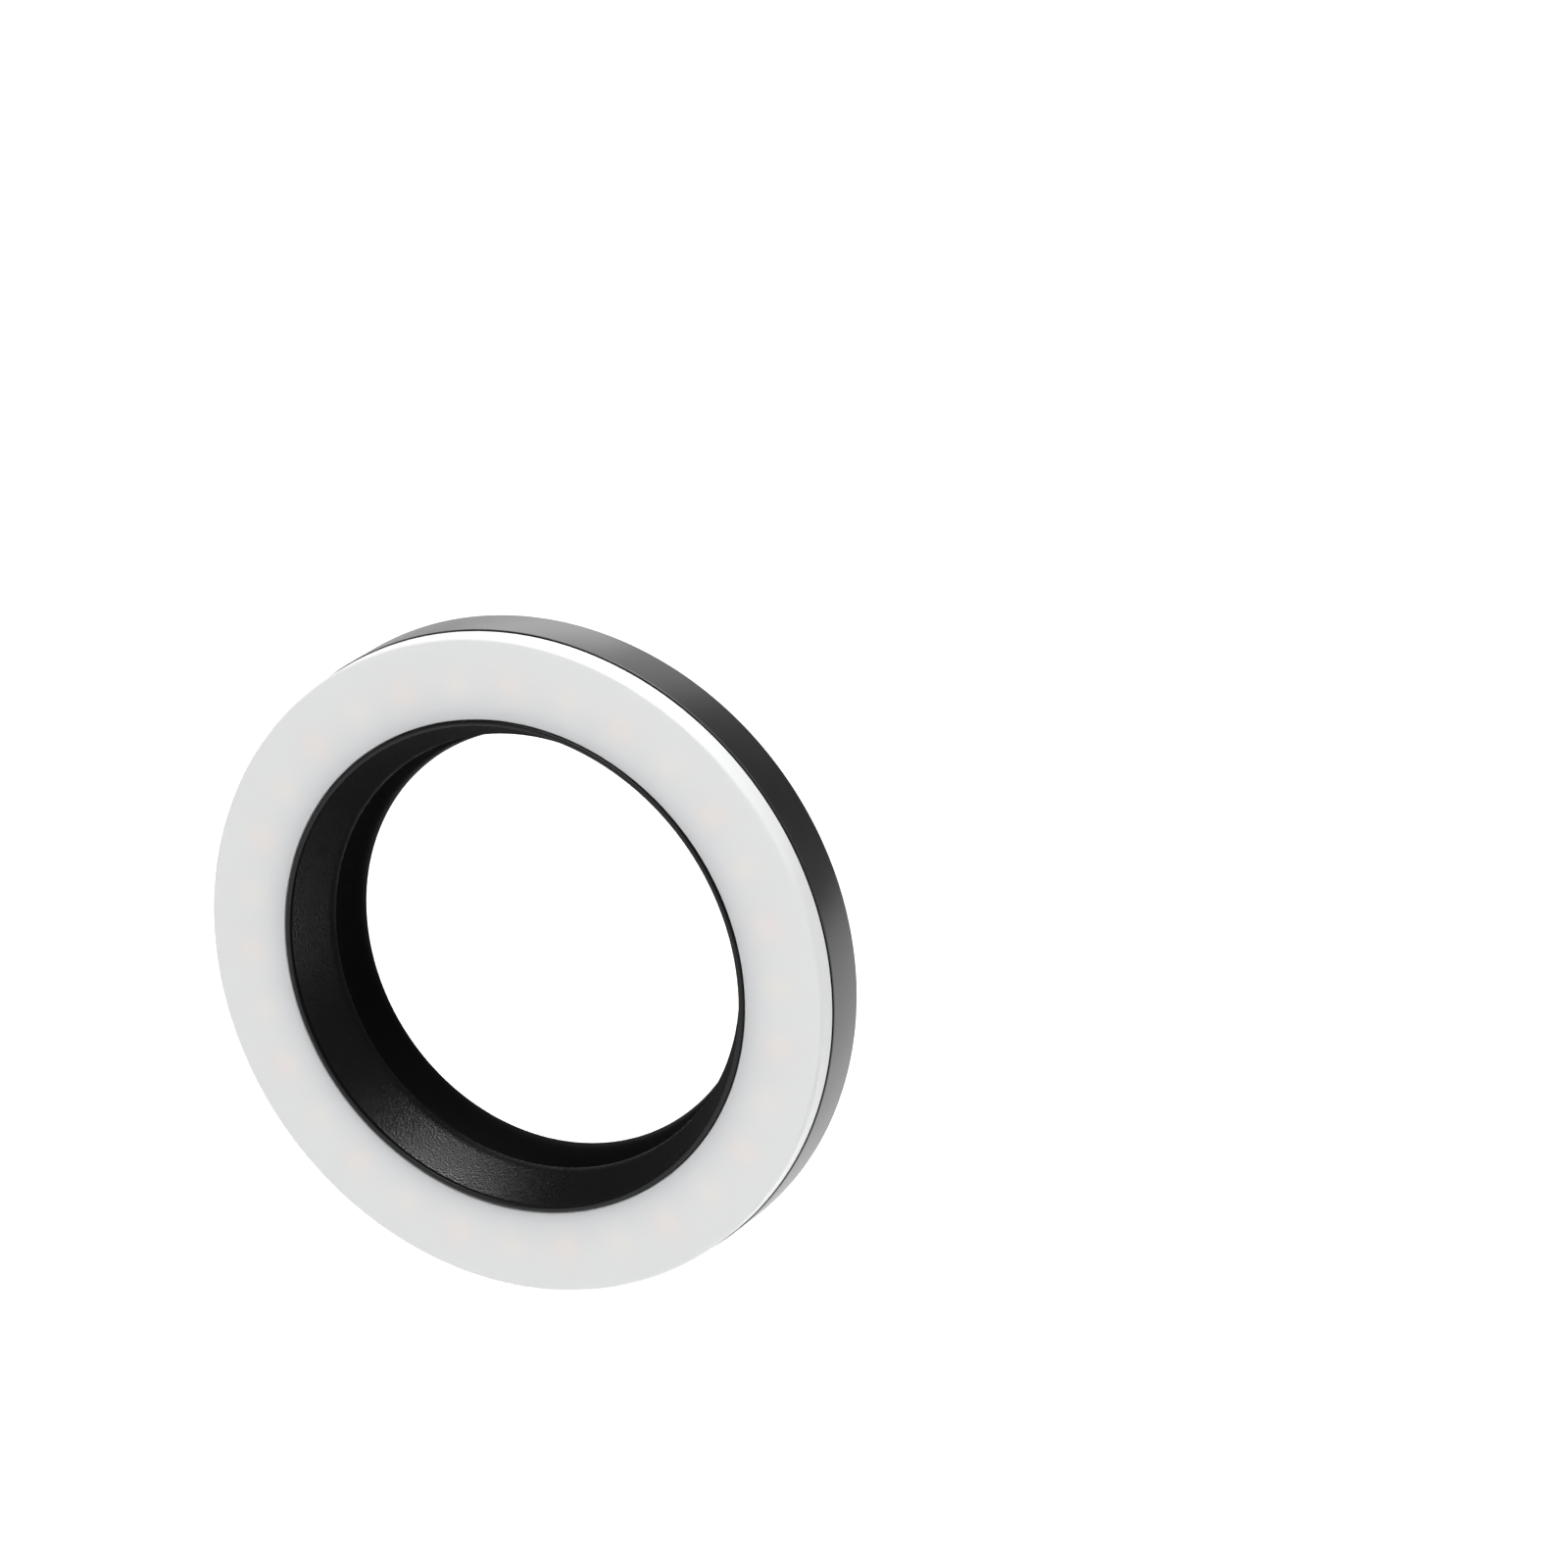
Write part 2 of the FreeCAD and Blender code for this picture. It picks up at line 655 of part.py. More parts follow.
# Bezel: rounded lip, funnel with a soft turn into a short land, flange with screw bosses
inner_bezel = new_body("inner_bezel")
bezel_turn = turn(inner_bezel, [
    (bore_front_radius, bezel_back),
    (bore_front_radius, bezel_back + funnel_land),
    (lip_inner_radius, lip_front - lip_depth),
    (lip_inner_radius, lip_front),
    (lip_outer_radius, lip_front),
    (lip_outer_radius, diffuser_back),
    (ledge_radius, diffuser_back),
    (ledge_radius, diffuser_back - ledge_thickness),
    (bore_front_radius + bezel_wall, bezel_flange_front),
    (hub_radius - retainer_margin, bezel_flange_front),
    (hub_radius - retainer_margin, bezel_back),
])
funnel_edge = edges_round_axis(inner_bezel.Shape, bore_front_radius, bezel_back + funnel_land)
funnel_turn = round_off(inner_bezel, bezel_turn, funnel_edge, funnel_round)
lip_edges = edges_round_axis(inner_bezel.Shape, lip_inner_radius, lip_front)
lip_edges += edges_round_axis(inner_bezel.Shape, lip_outer_radius, lip_front)
round_off(inner_bezel, funnel_turn, lip_edges, lip_round)
bezel_boss = front_sketch(inner_bezel, bezel_back + bezel_flange / 2)
circle(bezel_boss, (magnet_circle, 0), bezel_boss_radius)
bezel_hole_depth = bezel_screw_grip + screw_clearance
bezel_boss_reach = bezel_hole_depth + bezel_boss_cap - bezel_flange / 2
around(inner_bezel, pad(inner_bezel, bezel_boss, bezel_boss_reach), pillar_count)
bezel_hole = front_sketch(inner_bezel, bezel_back)
circle(bezel_hole, (magnet_circle, 0), screw_radius + thread_gap)
around(inner_bezel, cut(inner_bezel, bezel_hole, bezel_hole_depth, along_normal=True), pillar_count)

# Bezel screws: heads in the seat's counterbores, points in the bezel's bosses
bezel_screws = new_body("bezel_screws")
bezel_head = front_sketch(bezel_screws, bezel_head_front - screw_head)
circle(bezel_head, (magnet_circle, 0), screw_head_radius)
around(bezel_screws, pad(bezel_screws, bezel_head, screw_head), pillar_count)
bezel_shank = front_sketch(bezel_screws, bezel_head_front - screw_head / 2)
circle(bezel_shank, (magnet_circle, 0), screw_radius)
bezel_shank_length = bezel_back + bezel_screw_grip - bezel_head_front + screw_head / 2
around(bezel_screws, pad(bezel_screws, bezel_shank, bezel_shank_length), pillar_count)

# Diffuser: opal ring with a rounded outer edge and a skirt that reaches down inside the band
diffuser = new_body("diffuser")
diffuser_turn = turn(diffuser, [
    (diffuser_inner_radius, diffuser_back),
    (diffuser_inner_radius, diffuser_front),
    (diffuser_radius, diffuser_front),
    (diffuser_radius, shoulder),
    (skirt_radius, shoulder),
    (skirt_radius, board_front + well_gap),
    (skirt_inner_radius, board_front + well_gap),
    (skirt_inner_radius, diffuser_back),
])
outer_edge = edges_round_axis(diffuser.Shape, diffuser_radius, diffuser_front)
outer_turn = round_off(diffuser, diffuser_turn, outer_edge, diffuser_round)
inner_edge = edges_round_axis(diffuser.Shape, diffuser_inner_radius, diffuser_front)
round_off(diffuser, outer_turn, inner_edge, diffuser_inner_round)

# Gasket: black foam between the band's rim and the diffuser's shoulder, set back as a dark line
diffuser_gasket = new_body("diffuser_gasket")
turn(diffuser_gasket, [
    (band_inner_radius, rim_front),
    (band_inner_radius + gasket_width, rim_front),
    (band_inner_radius + gasket_width, shoulder),
    (band_inner_radius, shoulder),
])

# LED board: aluminium-core ring on the housing's pillars
led_board = new_body("led_board")
turn(led_board, [
    (board_inner_radius, board_back),
    (board_outer_radius, board_back),
    (board_outer_radius, board_front),
    (board_inner_radius, board_front),
])
board_hole = front_sketch(led_board, board_front)
circle(board_hole, (pillar_circle, 0), screw_radius + screw_clearance)
around(led_board, cut(led_board, board_hole, board_thickness), pillar_count)

# LEDs: warm and cool ones take turns round the ring
led_pitch = Size(180, "180") / led_pairs
for label, angle in (("cool_leds", led_phase), ("warm_leds", led_phase + led_pitch)):
    leds = new_body(label)
    led = front_sketch(leds, board_front)
    low = led_circle - led_width / 2
    high = led_circle + led_width / 2
    reach = led_length / 2
    outline(led, [beside(low, -reach, angle), beside(high, -reach, angle),
                  beside(high, reach, angle), beside(low, reach, angle)])
    around(leds, pad(leds, led, led_thickness), led_pairs)

# Light well: white trough with a window for each LED and a hole for each screw head
light_well = new_body("light_well")
well_inner_radius = board_inner_radius
well_outer_radius = skirt_inner_radius - well_gap
turn(light_well, [
    (well_inner_radius, board_front),
    (well_outer_radius, board_front),
    (well_outer_radius, diffuser_back - well_gap),
    (well_outer_radius - well_wall, diffuser_back - well_gap),
    (well_outer_radius - well_wall, board_front + well_wall),
    (well_inner_radius + well_wall, board_front + well_wall),
    (well_inner_radius + well_wall, diffuser_back - well_gap),
    (well_inner_radius, diffuser_back - well_gap),
])
window = front_sketch(light_well, board_front + well_wall)
low = led_circle - led_width / 2 - window_clearance
high = led_circle + led_width / 2 + window_clearance
reach = led_length / 2 + window_clearance
outline(window, [beside(low, -reach, led_phase), beside(high, -reach, led_phase),
                 beside(high, reach, led_phase), beside(low, reach, led_phase)])
around(light_well, cut(light_well, window, well_wall), led_pairs * 2)
head_hole = front_sketch(light_well, board_front + well_wall)
circle(head_hole, (pillar_circle, 0), screw_head_radius + head_clearance)
around(light_well, cut(light_well, head_hole, well_wall), pillar_count)

# Board screws: they hold the LED board on the pillars
board_screws = new_body("board_screws")
board_head = front_sketch(board_screws, board_front)
circle(board_head, (pillar_circle, 0), screw_head_radius)
around(board_screws, pad(board_screws, board_head, screw_head), pillar_count)
board_shank = front_sketch(board_screws, board_back - screw_grip)
circle(board_shank, (pillar_circle, 0), screw_radius)
board_shank_length = screw_grip + board_thickness + screw_head / 2
around(board_screws, pad(board_screws, board_shank, board_shank_length), pillar_count)

# Battery: flat cells between the pillars, as wide as the space between hub and band allows
cell_near = hub_radius + cell_clearance
cell_reach = band_inner_radius - cell_clearance
cell_far = root(cell_reach * cell_reach - cell_length * cell_length / 4)
for index in range(int(number_of(cell_count))):
    cell = new_body(f"battery_cell_{index + 1}", pillar_pitch * (index - 0.5))
    cell_sketch = front_sketch(cell, cell_back)
    rectangle(cell_sketch, cell_near, cell_far, -cell_length / 2, cell_length / 2)
    cell_pad = pad(cell, cell_sketch, cell_front - cell_back)
    round_off(cell, cell_pad, ["Face1"], cell_round)

# Foam tape under the cells, one strip for each
cell_pads = new_body("cell_pads", pillar_pitch * (cell_count - 1.5))
tape = front_sketch(cell_pads, floor_front)
tape_reach = cell_length / 2 - tape_margin
rectangle(tape, cell_near + tape_margin, cell_far - tape_margin, -tape_reach, tape_reach)
around(cell_pads, pad(cell_pads, tape, tape_thickness), cell_count, pillar_pitch)

# Battery strip: flexible circuit over the cells' inner edges, down to its plug
strip_near = hub_radius + plug_step
strip_start = -pillar_pitch / 2 - strip_overlap
strip_end = brighter_angle
battery_flex = new_body("battery_flex", (strip_start + strip_end) / 2)
turn(battery_flex, [
    (strip_near, cell_front),
    (strip_near + strip_width, cell_front),
    (strip_near + strip_width, cell_front + strip_thickness),
    (strip_near, cell_front + strip_thickness),
], strip_end - strip_start)
block("battery_connector", strip_near, plug_depth, plug_width, control_front, cell_front - control_front,
      brighter_angle - plug_shift)

# Control board: an arc of circuit board between two pillars, notched round the third
control_board = new_body("control_board", control_angle)
pillar_margin = (pillar_radius + control_board_margin) / pillar_circle * degrees_per_radian
turn(control_board, [
    (hub_radius + control_board_margin, control_back),
    (control_board_radius, control_back),
    (control_board_radius, control_front),
    (hub_radius + control_board_margin, control_front),
], (pillar_pitch - pillar_margin) * 2)
board_notch = front_sketch(control_board, control_front)
circle(board_notch, (pillar_circle, 0), pillar_radius + control_board_margin)
cut(control_board, board_notch, control_board_thickness)
boss_clearance = front_sketch(control_board, control_front)
for boss_angle in boss_angles:
    circle(boss_clearance, polar(boss_circle, boss_angle - control_angle), screw_radius + screw_clearance)
cut(control_board, boss_clearance, control_board_thickness)

# Control board screws
control_board_screws = new_body("control_board_screws")
control_heads = front_sketch(control_board_screws, control_front)
control_shanks = front_sketch(control_board_screws, control_back - boss_screw_grip)
for boss_angle in boss_angles:
    circle(control_heads, polar(boss_circle, boss_angle), screw_head_radius)
    circle(control_shanks, polar(boss_circle, boss_angle), screw_radius)
pad(control_board_screws, control_heads, screw_head)
pad(control_board_screws, control_shanks, boss_screw_grip + control_board_thickness + screw_head / 2)

# Parts on the control board: chips, coil, and the header up to the LED board
chip_near = hub_radius + chip_step
block("led_driver_chip", chip_near, chip_side, chip_side, control_front, chip_thickness, driver_chip_angle)
block("charge_chip", chip_near, chip_side, chip_side, control_front, chip_thickness, charge_chip_angle)
block("power_inductor", hub_radius + coil_step, coil_side, coil_side, control_front, coil_height, coil_angle)
block("board_header", hub_radius + header_step, header_length, header_width, control_front,
      board_back - control_front, header_angle)

# Key switches: side-push bodies with a bore for the plunger
button_switches = new_body("button_switches")
for key_angle in key_angles.values():
    switch = side_sketch(button_switches, switch_front_radius - switch_depth, key_angle)
    rectangle(switch, -(control_front + switch_height), -control_front, -switch_length / 2, switch_length / 2)
    pad(button_switches, switch, switch_depth)
for key_angle in key_angles.values():
    bore = side_sketch(button_switches, switch_front_radius, key_angle)
    bore_across = plunger_width / 2 + plunger_clearance
    bore_along = plunger_length / 2 + plunger_clearance
    rectangle(bore, -control_middle - bore_across, -control_middle + bore_across, -bore_along, bore_along)
    cut(button_switches, bore, plunger_overlap + plunger_travel + plunger_clearance)

# Keys: a cap with a flange behind the band's opening, and the switch plunger behind it
key_face = band_radius + key_proud
for name, key_angle in key_angles.items():
    key = new_body(f"{name}_button", key_angle)
    flange = side_sketch(key, key_flange_near)
    pill(flange, -control_middle, key_length + key_flange * 2, key_width + key_flange * 2)
    pad(key, flange, key_flange_thickness)
    cap = side_sketch(key, key_flange_near + key_flange_thickness / 2)
    pill(cap, -control_middle, key_length, key_width)
    cap_pad = pad(key, cap, key_face - key_flange_near - key_flange_thickness / 2)
    round_off(key, cap_pad, edges_at_reach(cap_pad.Shape, key_face), key_round)
    plunger = new_body(f"{name}_switch_plunger", key_angle)
    stem = side_sketch(plunger, switch_front_radius - plunger_overlap)
    stem_across = plunger_width / 2
    rectangle(stem, -control_middle - stem_across, -control_middle + stem_across,
              -plunger_length / 2, plunger_length / 2)
    pad(plunger, stem, key_flange_near - switch_front_radius + plunger_overlap)

# Charging socket: a steel shell closed at the back, and the tongue in it
usb_mouth = band_radius - usb_recess
usb_socket = new_body("usb_socket", usb_angle)
shell = side_sketch(usb_socket, usb_mouth - usb_depth)
pill(shell, -control_middle, usb_width, usb_height)
pad(usb_socket, shell, usb_depth)
mouth = side_sketch(usb_socket, usb_mouth)
pill(mouth, -control_middle, usb_width - usb_wall * 2, usb_height - usb_wall * 2)
cut(usb_socket, mouth, usb_depth - usb_back)

usb_tongue = new_body("usb_tongue", usb_angle)
tongue_root = side_sketch(usb_tongue, usb_mouth - usb_depth + usb_back)
pill(tongue_root, -control_middle, usb_width - (usb_wall + glue_gap) * 2, usb_height - (usb_wall + glue_gap) * 2)
pad(usb_tongue, tongue_root, tongue_block)
tongue = side_sketch(usb_tongue, usb_mouth - usb_depth + usb_back + tongue_block / 2)
tongue_across = tongue_thickness / 2
rectangle(tongue, -control_middle - tongue_across, -control_middle + tongue_across,
          -tongue_width / 2, tongue_width / 2)
pad(usb_tongue, tongue, tongue_length)

# Status display: a clear light pipe in the band and four small LEDs behind it
block_far = band_inner_radius - cell_clearance
block_near = block_far - status_block_depth
status_light_pipe = new_body("status_light_pipe", status_angle)
pipe_block = side_sketch(status_light_pipe, block_near)
pipe_reach = status_length / 2
rectangle(pipe_block, -(control_middle + status_width), -control_front - status_block_gap,
          -pipe_reach, pipe_reach)
pad(status_light_pipe, pipe_block, status_block_depth)
pipe_window = side_sketch(status_light_pipe, block_far - status_block_depth / 2)
pill(pipe_window, -control_middle, status_length, status_width)
pad(status_light_pipe, pipe_window, band_radius - status_recess - block_far + status_block_depth / 2)

status_leds = new_body("status_leds", status_angle)
led_far = block_near - status_block_gap
for index in range(status_led_count):
    step = status_led_pitch * (index - (status_led_count - 1) / 2)
    status_led = front_sketch(status_leds, control_front)
    half_side = status_led_side / 2
    rectangle(status_led, led_far - status_led_side, led_far, step - half_side, step + half_side)
    pad(status_leds, status_led, status_led_height)

# Every feature has to be sound before anything is written
doc.recompute()
for thing in doc.Objects:
    if "Invalid" in thing.State or "Error" in thing.State:
        raise ValueError(f"{thing.Label} is not sound: {thing.State}")
for piece in pieces:
    if piece.Shape.isNull() or not piece.Shape.isValid():
        raise ValueError(f"{piece.Label} has no valid shape")

os.makedirs("parts", exist_ok=True)
for piece in pieces:
    piece.Shape.exportStep(os.path.join("parts", f"{piece.Label}.step"))
print(len(pieces), "pieces written")
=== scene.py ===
import math

import bpy
import numpy as np
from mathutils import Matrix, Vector


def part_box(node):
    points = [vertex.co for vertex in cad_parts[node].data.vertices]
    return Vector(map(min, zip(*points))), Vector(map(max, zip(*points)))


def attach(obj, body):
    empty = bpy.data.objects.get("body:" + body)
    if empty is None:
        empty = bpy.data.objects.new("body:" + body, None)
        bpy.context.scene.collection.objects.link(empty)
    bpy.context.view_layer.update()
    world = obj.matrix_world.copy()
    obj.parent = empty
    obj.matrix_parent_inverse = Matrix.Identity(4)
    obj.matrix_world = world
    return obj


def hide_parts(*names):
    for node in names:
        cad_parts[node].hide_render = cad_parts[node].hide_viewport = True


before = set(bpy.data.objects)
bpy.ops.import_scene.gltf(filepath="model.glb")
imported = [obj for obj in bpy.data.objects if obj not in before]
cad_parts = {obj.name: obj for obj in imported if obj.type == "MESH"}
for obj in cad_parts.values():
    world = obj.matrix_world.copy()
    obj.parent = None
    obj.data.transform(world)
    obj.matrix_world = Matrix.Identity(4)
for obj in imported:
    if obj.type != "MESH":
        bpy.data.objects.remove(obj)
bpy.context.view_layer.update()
mm = 0.001

# Studio: a pale floor well under the ring, a white room behind it and a dimmer one in front, and soft boxes in
# front, overhead and behind. Two dark cards show only in reflections: one far behind for the band, and a round
# flag across the bore's back that keeps the white room out of it. The view is the photograph's.
camera_azimuth = 26.05
camera_elevation = 19.24
camera_distance = 1.1989
camera_aim = Vector((24.9, 21.3, 19.9)) * mm
camera_lens = 202.5
floor_drop = 0.12
floor_reach = 6.0
floor_white = 0.82
floor_glow = 0.45
front_room = 0.10
back_room = 1.0
room_turn = (-0.2, 0.6)
card_grey = 0.05
card_distance = 2.5
card_corners = ((175, -2.5), (130, -2.5), (130, 42), (175, 42))
flag_radius = 29.4 * mm
flag_back = 1.8 * mm


def direction(azimuth, elevation):
    """Unit vector from the ring to a place seen at an azimuth (0 in front, 90 at +X) and an elevation."""
    turn, rise = math.radians(azimuth), math.radians(elevation)
    return Vector((math.sin(turn) * math.cos(rise), -math.cos(turn) * math.cos(rise), math.sin(rise)))


def shader_tree(block):
    """The emptied node tree of a material or world, with its output node."""
    block.use_nodes = True
    tree = block.node_tree
    tree.nodes.clear()
    kind = "ShaderNodeOutputWorld" if isinstance(block, bpy.types.World) else "ShaderNodeOutputMaterial"
    return tree, tree.nodes.new(kind)


def calculate(tree, operation, *values):
    """A Math node in a tree; each value is a socket or a number."""
    step = tree.nodes.new("ShaderNodeMath")
    step.operation = operation
    for index, value in enumerate(values):
        if isinstance(value, (int, float)):
            step.inputs[index].default_value = value
        else:
            tree.links.new(value, step.inputs[index])
    return step.outputs[0]


def soft_box(name, azimuth, elevation, distance, width, height, power):
    """A rectangular soft light that faces the ring's centre."""
    light = bpy.data.lights.new(name, "AREA")
    light.shape = "RECTANGLE"
    light.size = width
    light.size_y = height
    light.energy = power
    lamp = bpy.data.objects.new(name, light)
    lamp.location = direction(azimuth, elevation) * distance
    lamp.rotation_euler = (-lamp.location).to_track_quat("-Z", "Y").to_euler()
    bpy.context.scene.collection.objects.link(lamp)


def card(name, corners, material, mirrored_only=False):
    """A flat stage card through its corners, seen by all rays or only in glossy reflections."""
    mesh = bpy.data.meshes.new(name)
    mesh.from_pydata([tuple(corner) for corner in corners], [], [tuple(range(len(corners)))])
    mesh.materials.append(material)
    sheet = bpy.data.objects.new(name, mesh)
    bpy.context.scene.collection.objects.link(sheet)
    if mirrored_only:
        sheet.visible_camera = False
        sheet.visible_diffuse = False
        sheet.visible_shadow = False
        sheet.visible_transmission = False


camera_data = bpy.data.cameras.new("camera")
camera_data.lens = camera_lens
camera_data.clip_end = 20.0
camera = bpy.data.objects.new("camera", camera_data)
camera_side = direction(camera_azimuth, camera_elevation)
camera.location = camera_aim + camera_side * camera_distance
camera.rotation_euler = (-camera_side).to_track_quat("-Z", "Y").to_euler()
bpy.context.scene.collection.objects.link(camera)
bpy.context.scene.camera = camera
bpy.context.scene.view_settings.view_transform = "Standard"

world = bpy.data.worlds.new("studio")
bpy.context.scene.world = world
tree, output = shader_tree(world)
way = tree.nodes.new("ShaderNodeSeparateXYZ")
tree.links.new(tree.nodes.new("ShaderNodeTexCoord").outputs["Generated"], way.inputs[0])
room = tree.nodes.new("ShaderNodeMapRange")
room.interpolation_type = "SMOOTHSTEP"
for label, value in zip(("From Min", "From Max", "To Min", "To Max"), (*room_turn, front_room, back_room)):
    room.inputs[label].default_value = value
tree.links.new(way.outputs["Y"], room.inputs["Value"])
path = tree.nodes.new("ShaderNodeLightPath")
seen = calculate(tree, "MAXIMUM", path.outputs["Is Camera Ray"], path.outputs["Is Transmission Ray"])
background = tree.nodes.new("ShaderNodeBackground")
background.inputs["Color"].default_value = (1, 1, 1, 1)
tree.links.new(calculate(tree, "MAXIMUM", seen, room.outputs["Result"]), background.inputs["Strength"])
tree.links.new(background.outputs["Background"], output.inputs["Surface"])

floor_paint = bpy.data.materials.new("floor_paint")
tree, output = shader_tree(floor_paint)
matt = tree.nodes.new("ShaderNodeBsdfDiffuse")
matt.inputs["Color"].default_value = (floor_white, floor_white, floor_white, 1)
lift = tree.nodes.new("ShaderNodeEmission")
path = tree.nodes.new("ShaderNodeLightPath")
seen = calculate(tree, "MAXIMUM", path.outputs["Is Camera Ray"], path.outputs["Is Glossy Ray"])
tree.links.new(calculate(tree, "MULTIPLY", seen, floor_glow), lift.inputs["Strength"])
together = tree.nodes.new("ShaderNodeAddShader")
tree.links.new(matt.outputs["BSDF"], together.inputs[0])
tree.links.new(lift.outputs["Emission"], together.inputs[1])
from_below = tree.nodes.new("ShaderNodeMixShader")
underside = tree.nodes.new("ShaderNodeNewGeometry").outputs["Backfacing"]
tree.links.new(calculate(tree, "MULTIPLY", underside, path.outputs["Is Camera Ray"]), from_below.inputs["Fac"])
tree.links.new(together.outputs["Shader"], from_below.inputs[1])
tree.links.new(tree.nodes.new("ShaderNodeBsdfTransparent").outputs["BSDF"], from_below.inputs[2])
tree.links.new(from_below.outputs["Shader"], output.inputs["Surface"])
card("floor", [Vector((x, y, -floor_drop)) for x, y in (
    (-floor_reach, -floor_reach), (floor_reach, -floor_reach),
    (floor_reach, floor_reach), (-floor_reach, floor_reach))], floor_paint)

card_paint = bpy.data.materials.new("card_paint")
tree, output = shader_tree(card_paint)
dark = tree.nodes.new("ShaderNodeEmission")
dark.inputs["Color"].default_value = (card_grey, card_grey, card_grey, 1)
tree.links.new(dark.outputs["Emission"], output.inputs["Surface"])
card("dark_card", [direction(turn, rise) * card_distance for turn, rise in card_corners], card_paint,
     mirrored_only=True)
flag_turns = np.linspace(0, 2 * math.pi, 48, endpoint=False)
card("bore_flag", [(flag_radius * math.cos(turn), flag_back, flag_radius * math.sin(turn))
                   for turn in flag_turns], card_paint, mirrored_only=True)

soft_box("front_light", 10, 32, 1.1, 0.7, 0.5, 4.3)
soft_box("top_light", 14, 86, 0.9, 0.55, 0.45, 7.6)
soft_box("rear_light", 206, 24, 1.6, 0.6, 0.5, 1.3)

# Adapter ring: turned from aluminium bar and anodised black, with a dead matt coat in its bore against stray
# light. It is held by the fine thread at its back, up to a notched flange, and the lamp turns on the sleeve in
# front of that.
adapter_low, adapter_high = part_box("adapter_ring")
thread_radius = 33.5 * mm
thread_end = adapter_high[1]
thread_pitch = 0.75 * mm
thread_depth = 0.42 * mm
thread_start = 0.04 * mm
thread_chamfer = 0.2 * mm
thread_end_step = 0.3 * mm
thread_fades = 6
flange_radius = adapter_high[0]
flange_front = -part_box("keeper_ring")[0][1]
sleeve_radius = 32.6 * mm
sleeve_front = -adapter_low[1]
bore_rear_radius = 29.6 * mm
bore_front_radius = 31.0 * mm
bore_chamfer = 0.2 * mm
bore_margin = 0.1 * mm
keeper_inner_radius = 33.3 * mm
keeper_outer_radius = 34.9 * mm
keeper_thickness = flange_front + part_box("keeper_ring")[1][1]
glue_gap = 0.05 * mm
flute_count = 24
flute_depth = 0.35 * mm
flute_width = 1.6 * mm
flute_side = 0.15 * mm
crease_angle = math.radians(32)


def section(*corners, arc_step=9):
    """Points of a closed section from (radius, forward, rounding) corners.

    A corner with a rounding becomes an arc tangent to both sides. Its centre lies on the corner's bisector,
    rounding / sin(half the corner's angle) away, and its points are evenly spaced, at most the step's degrees
    apart."""
    places = np.array([corner[:2] for corner in corners])
    points = []
    for index, corner in enumerate(corners):
        place = places[index]
        rounding = corner[2] if len(corner) > 2 else 0
        if rounding == 0:
            points.append(place[None])
            continue
        before = places[index - 1] - place
        after = places[(index + 1) % len(corners)] - place
        before /= np.linalg.norm(before)
        after /= np.linalg.norm(after)
        half = math.acos(np.clip(before @ after, -1, 1)) / 2
        bisector = (before + after) / np.linalg.norm(before + after)
        centre = place + bisector * rounding / math.sin(half)
        start = place + before * rounding / math.tan(half) - centre
        end = place + after * rounding / math.tan(half) - centre
        swing = math.pi - 2 * half
        steps = max(2, math.ceil(math.degrees(swing) / arc_step))
        share = np.linspace(0, 1, steps + 1)[:, None]
        swept = np.sin((1 - share) * swing) * start + np.sin(share * swing) * end
        points.append(centre + swept / math.sin(swing))
    return np.concatenate(points)


def quads(rows, columns, close_rows=True):
    """Corner numbers of the quads of a grid numbered row by row, closed along its columns."""
    row, column = np.meshgrid(np.arange(rows if close_rows else rows - 1), np.arange(columns), indexing="ij")
    next_row, next_column = (row + 1) % rows, (column + 1) % columns
    corners = [row * columns + column, next_row * columns + column,
               next_row * columns + next_column, row * columns + next_column]
    return np.stack(corners, -1).reshape(-1, 4)


def round_axis(radius, forward, angle):
    """Places at a radius, a distance forward and an angle: (radius cos, -forward, radius sin)."""
    radius, forward, angle = np.broadcast_arrays(radius, forward, angle)
    return np.stack([radius * np.cos(angle), -forward, radius * np.sin(angle)], -1)


def add_object(name, points, faces, *materials):
    """A mesh object from numpy points and lists of corner numbers; its faces start in the first material."""
    mesh = bpy.data.meshes.new(name)
    faces = faces.tolist() if isinstance(faces, np.ndarray) else faces
    mesh.from_pydata(np.asarray(points).reshape(-1, 3).tolist(), [], faces)
    for material in materials:
        mesh.materials.append(material)
    thing = bpy.data.objects.new(name, mesh)
    bpy.context.scene.collection.objects.link(thing)
    return thing


def face_middles(thing):
    """The middle of each face of a piece, as rows of x, y and z."""
    return np.array([face.center for face in thing.data.polygons])


def dress(thing, body, slot, *replaced):
    """Smooth a finished piece between its true edges and let it ride on its body in place of CAD nodes."""
    thing.data.shade_smooth()
    thing.data.set_sharp_from_angle(angle=crease_angle)
    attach(thing, body)
    if replaced:
        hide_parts(*replaced)


def group(name, inputs, outputs):
    """A shader group with named float inputs and outputs: its tree, its input node and its output node."""
    tree = bpy.data.node_groups.new(name, "ShaderNodeTree")
    for label, value in inputs.items():
        socket = tree.interface.new_socket(label, in_out="INPUT", socket_type="NodeSocketFloat")
        socket.default_value = value
    for label in outputs:
        tree.interface.new_socket(label, in_out="OUTPUT", socket_type="NodeSocketFloat")
    return tree, tree.nodes.new("NodeGroupInput"), tree.nodes.new("NodeGroupOutput")


def place_of(tree):
    """Object coordinates in a tree, as a vector socket."""
    return tree.nodes.new("ShaderNodeTexCoord").outputs["Object"]


def clipped(tree, value):
    """A value in a tree, held between 0 and 1."""
    return calculate(tree, "MINIMUM", calculate(tree, "MAXIMUM", value, 0.0), 1.0)


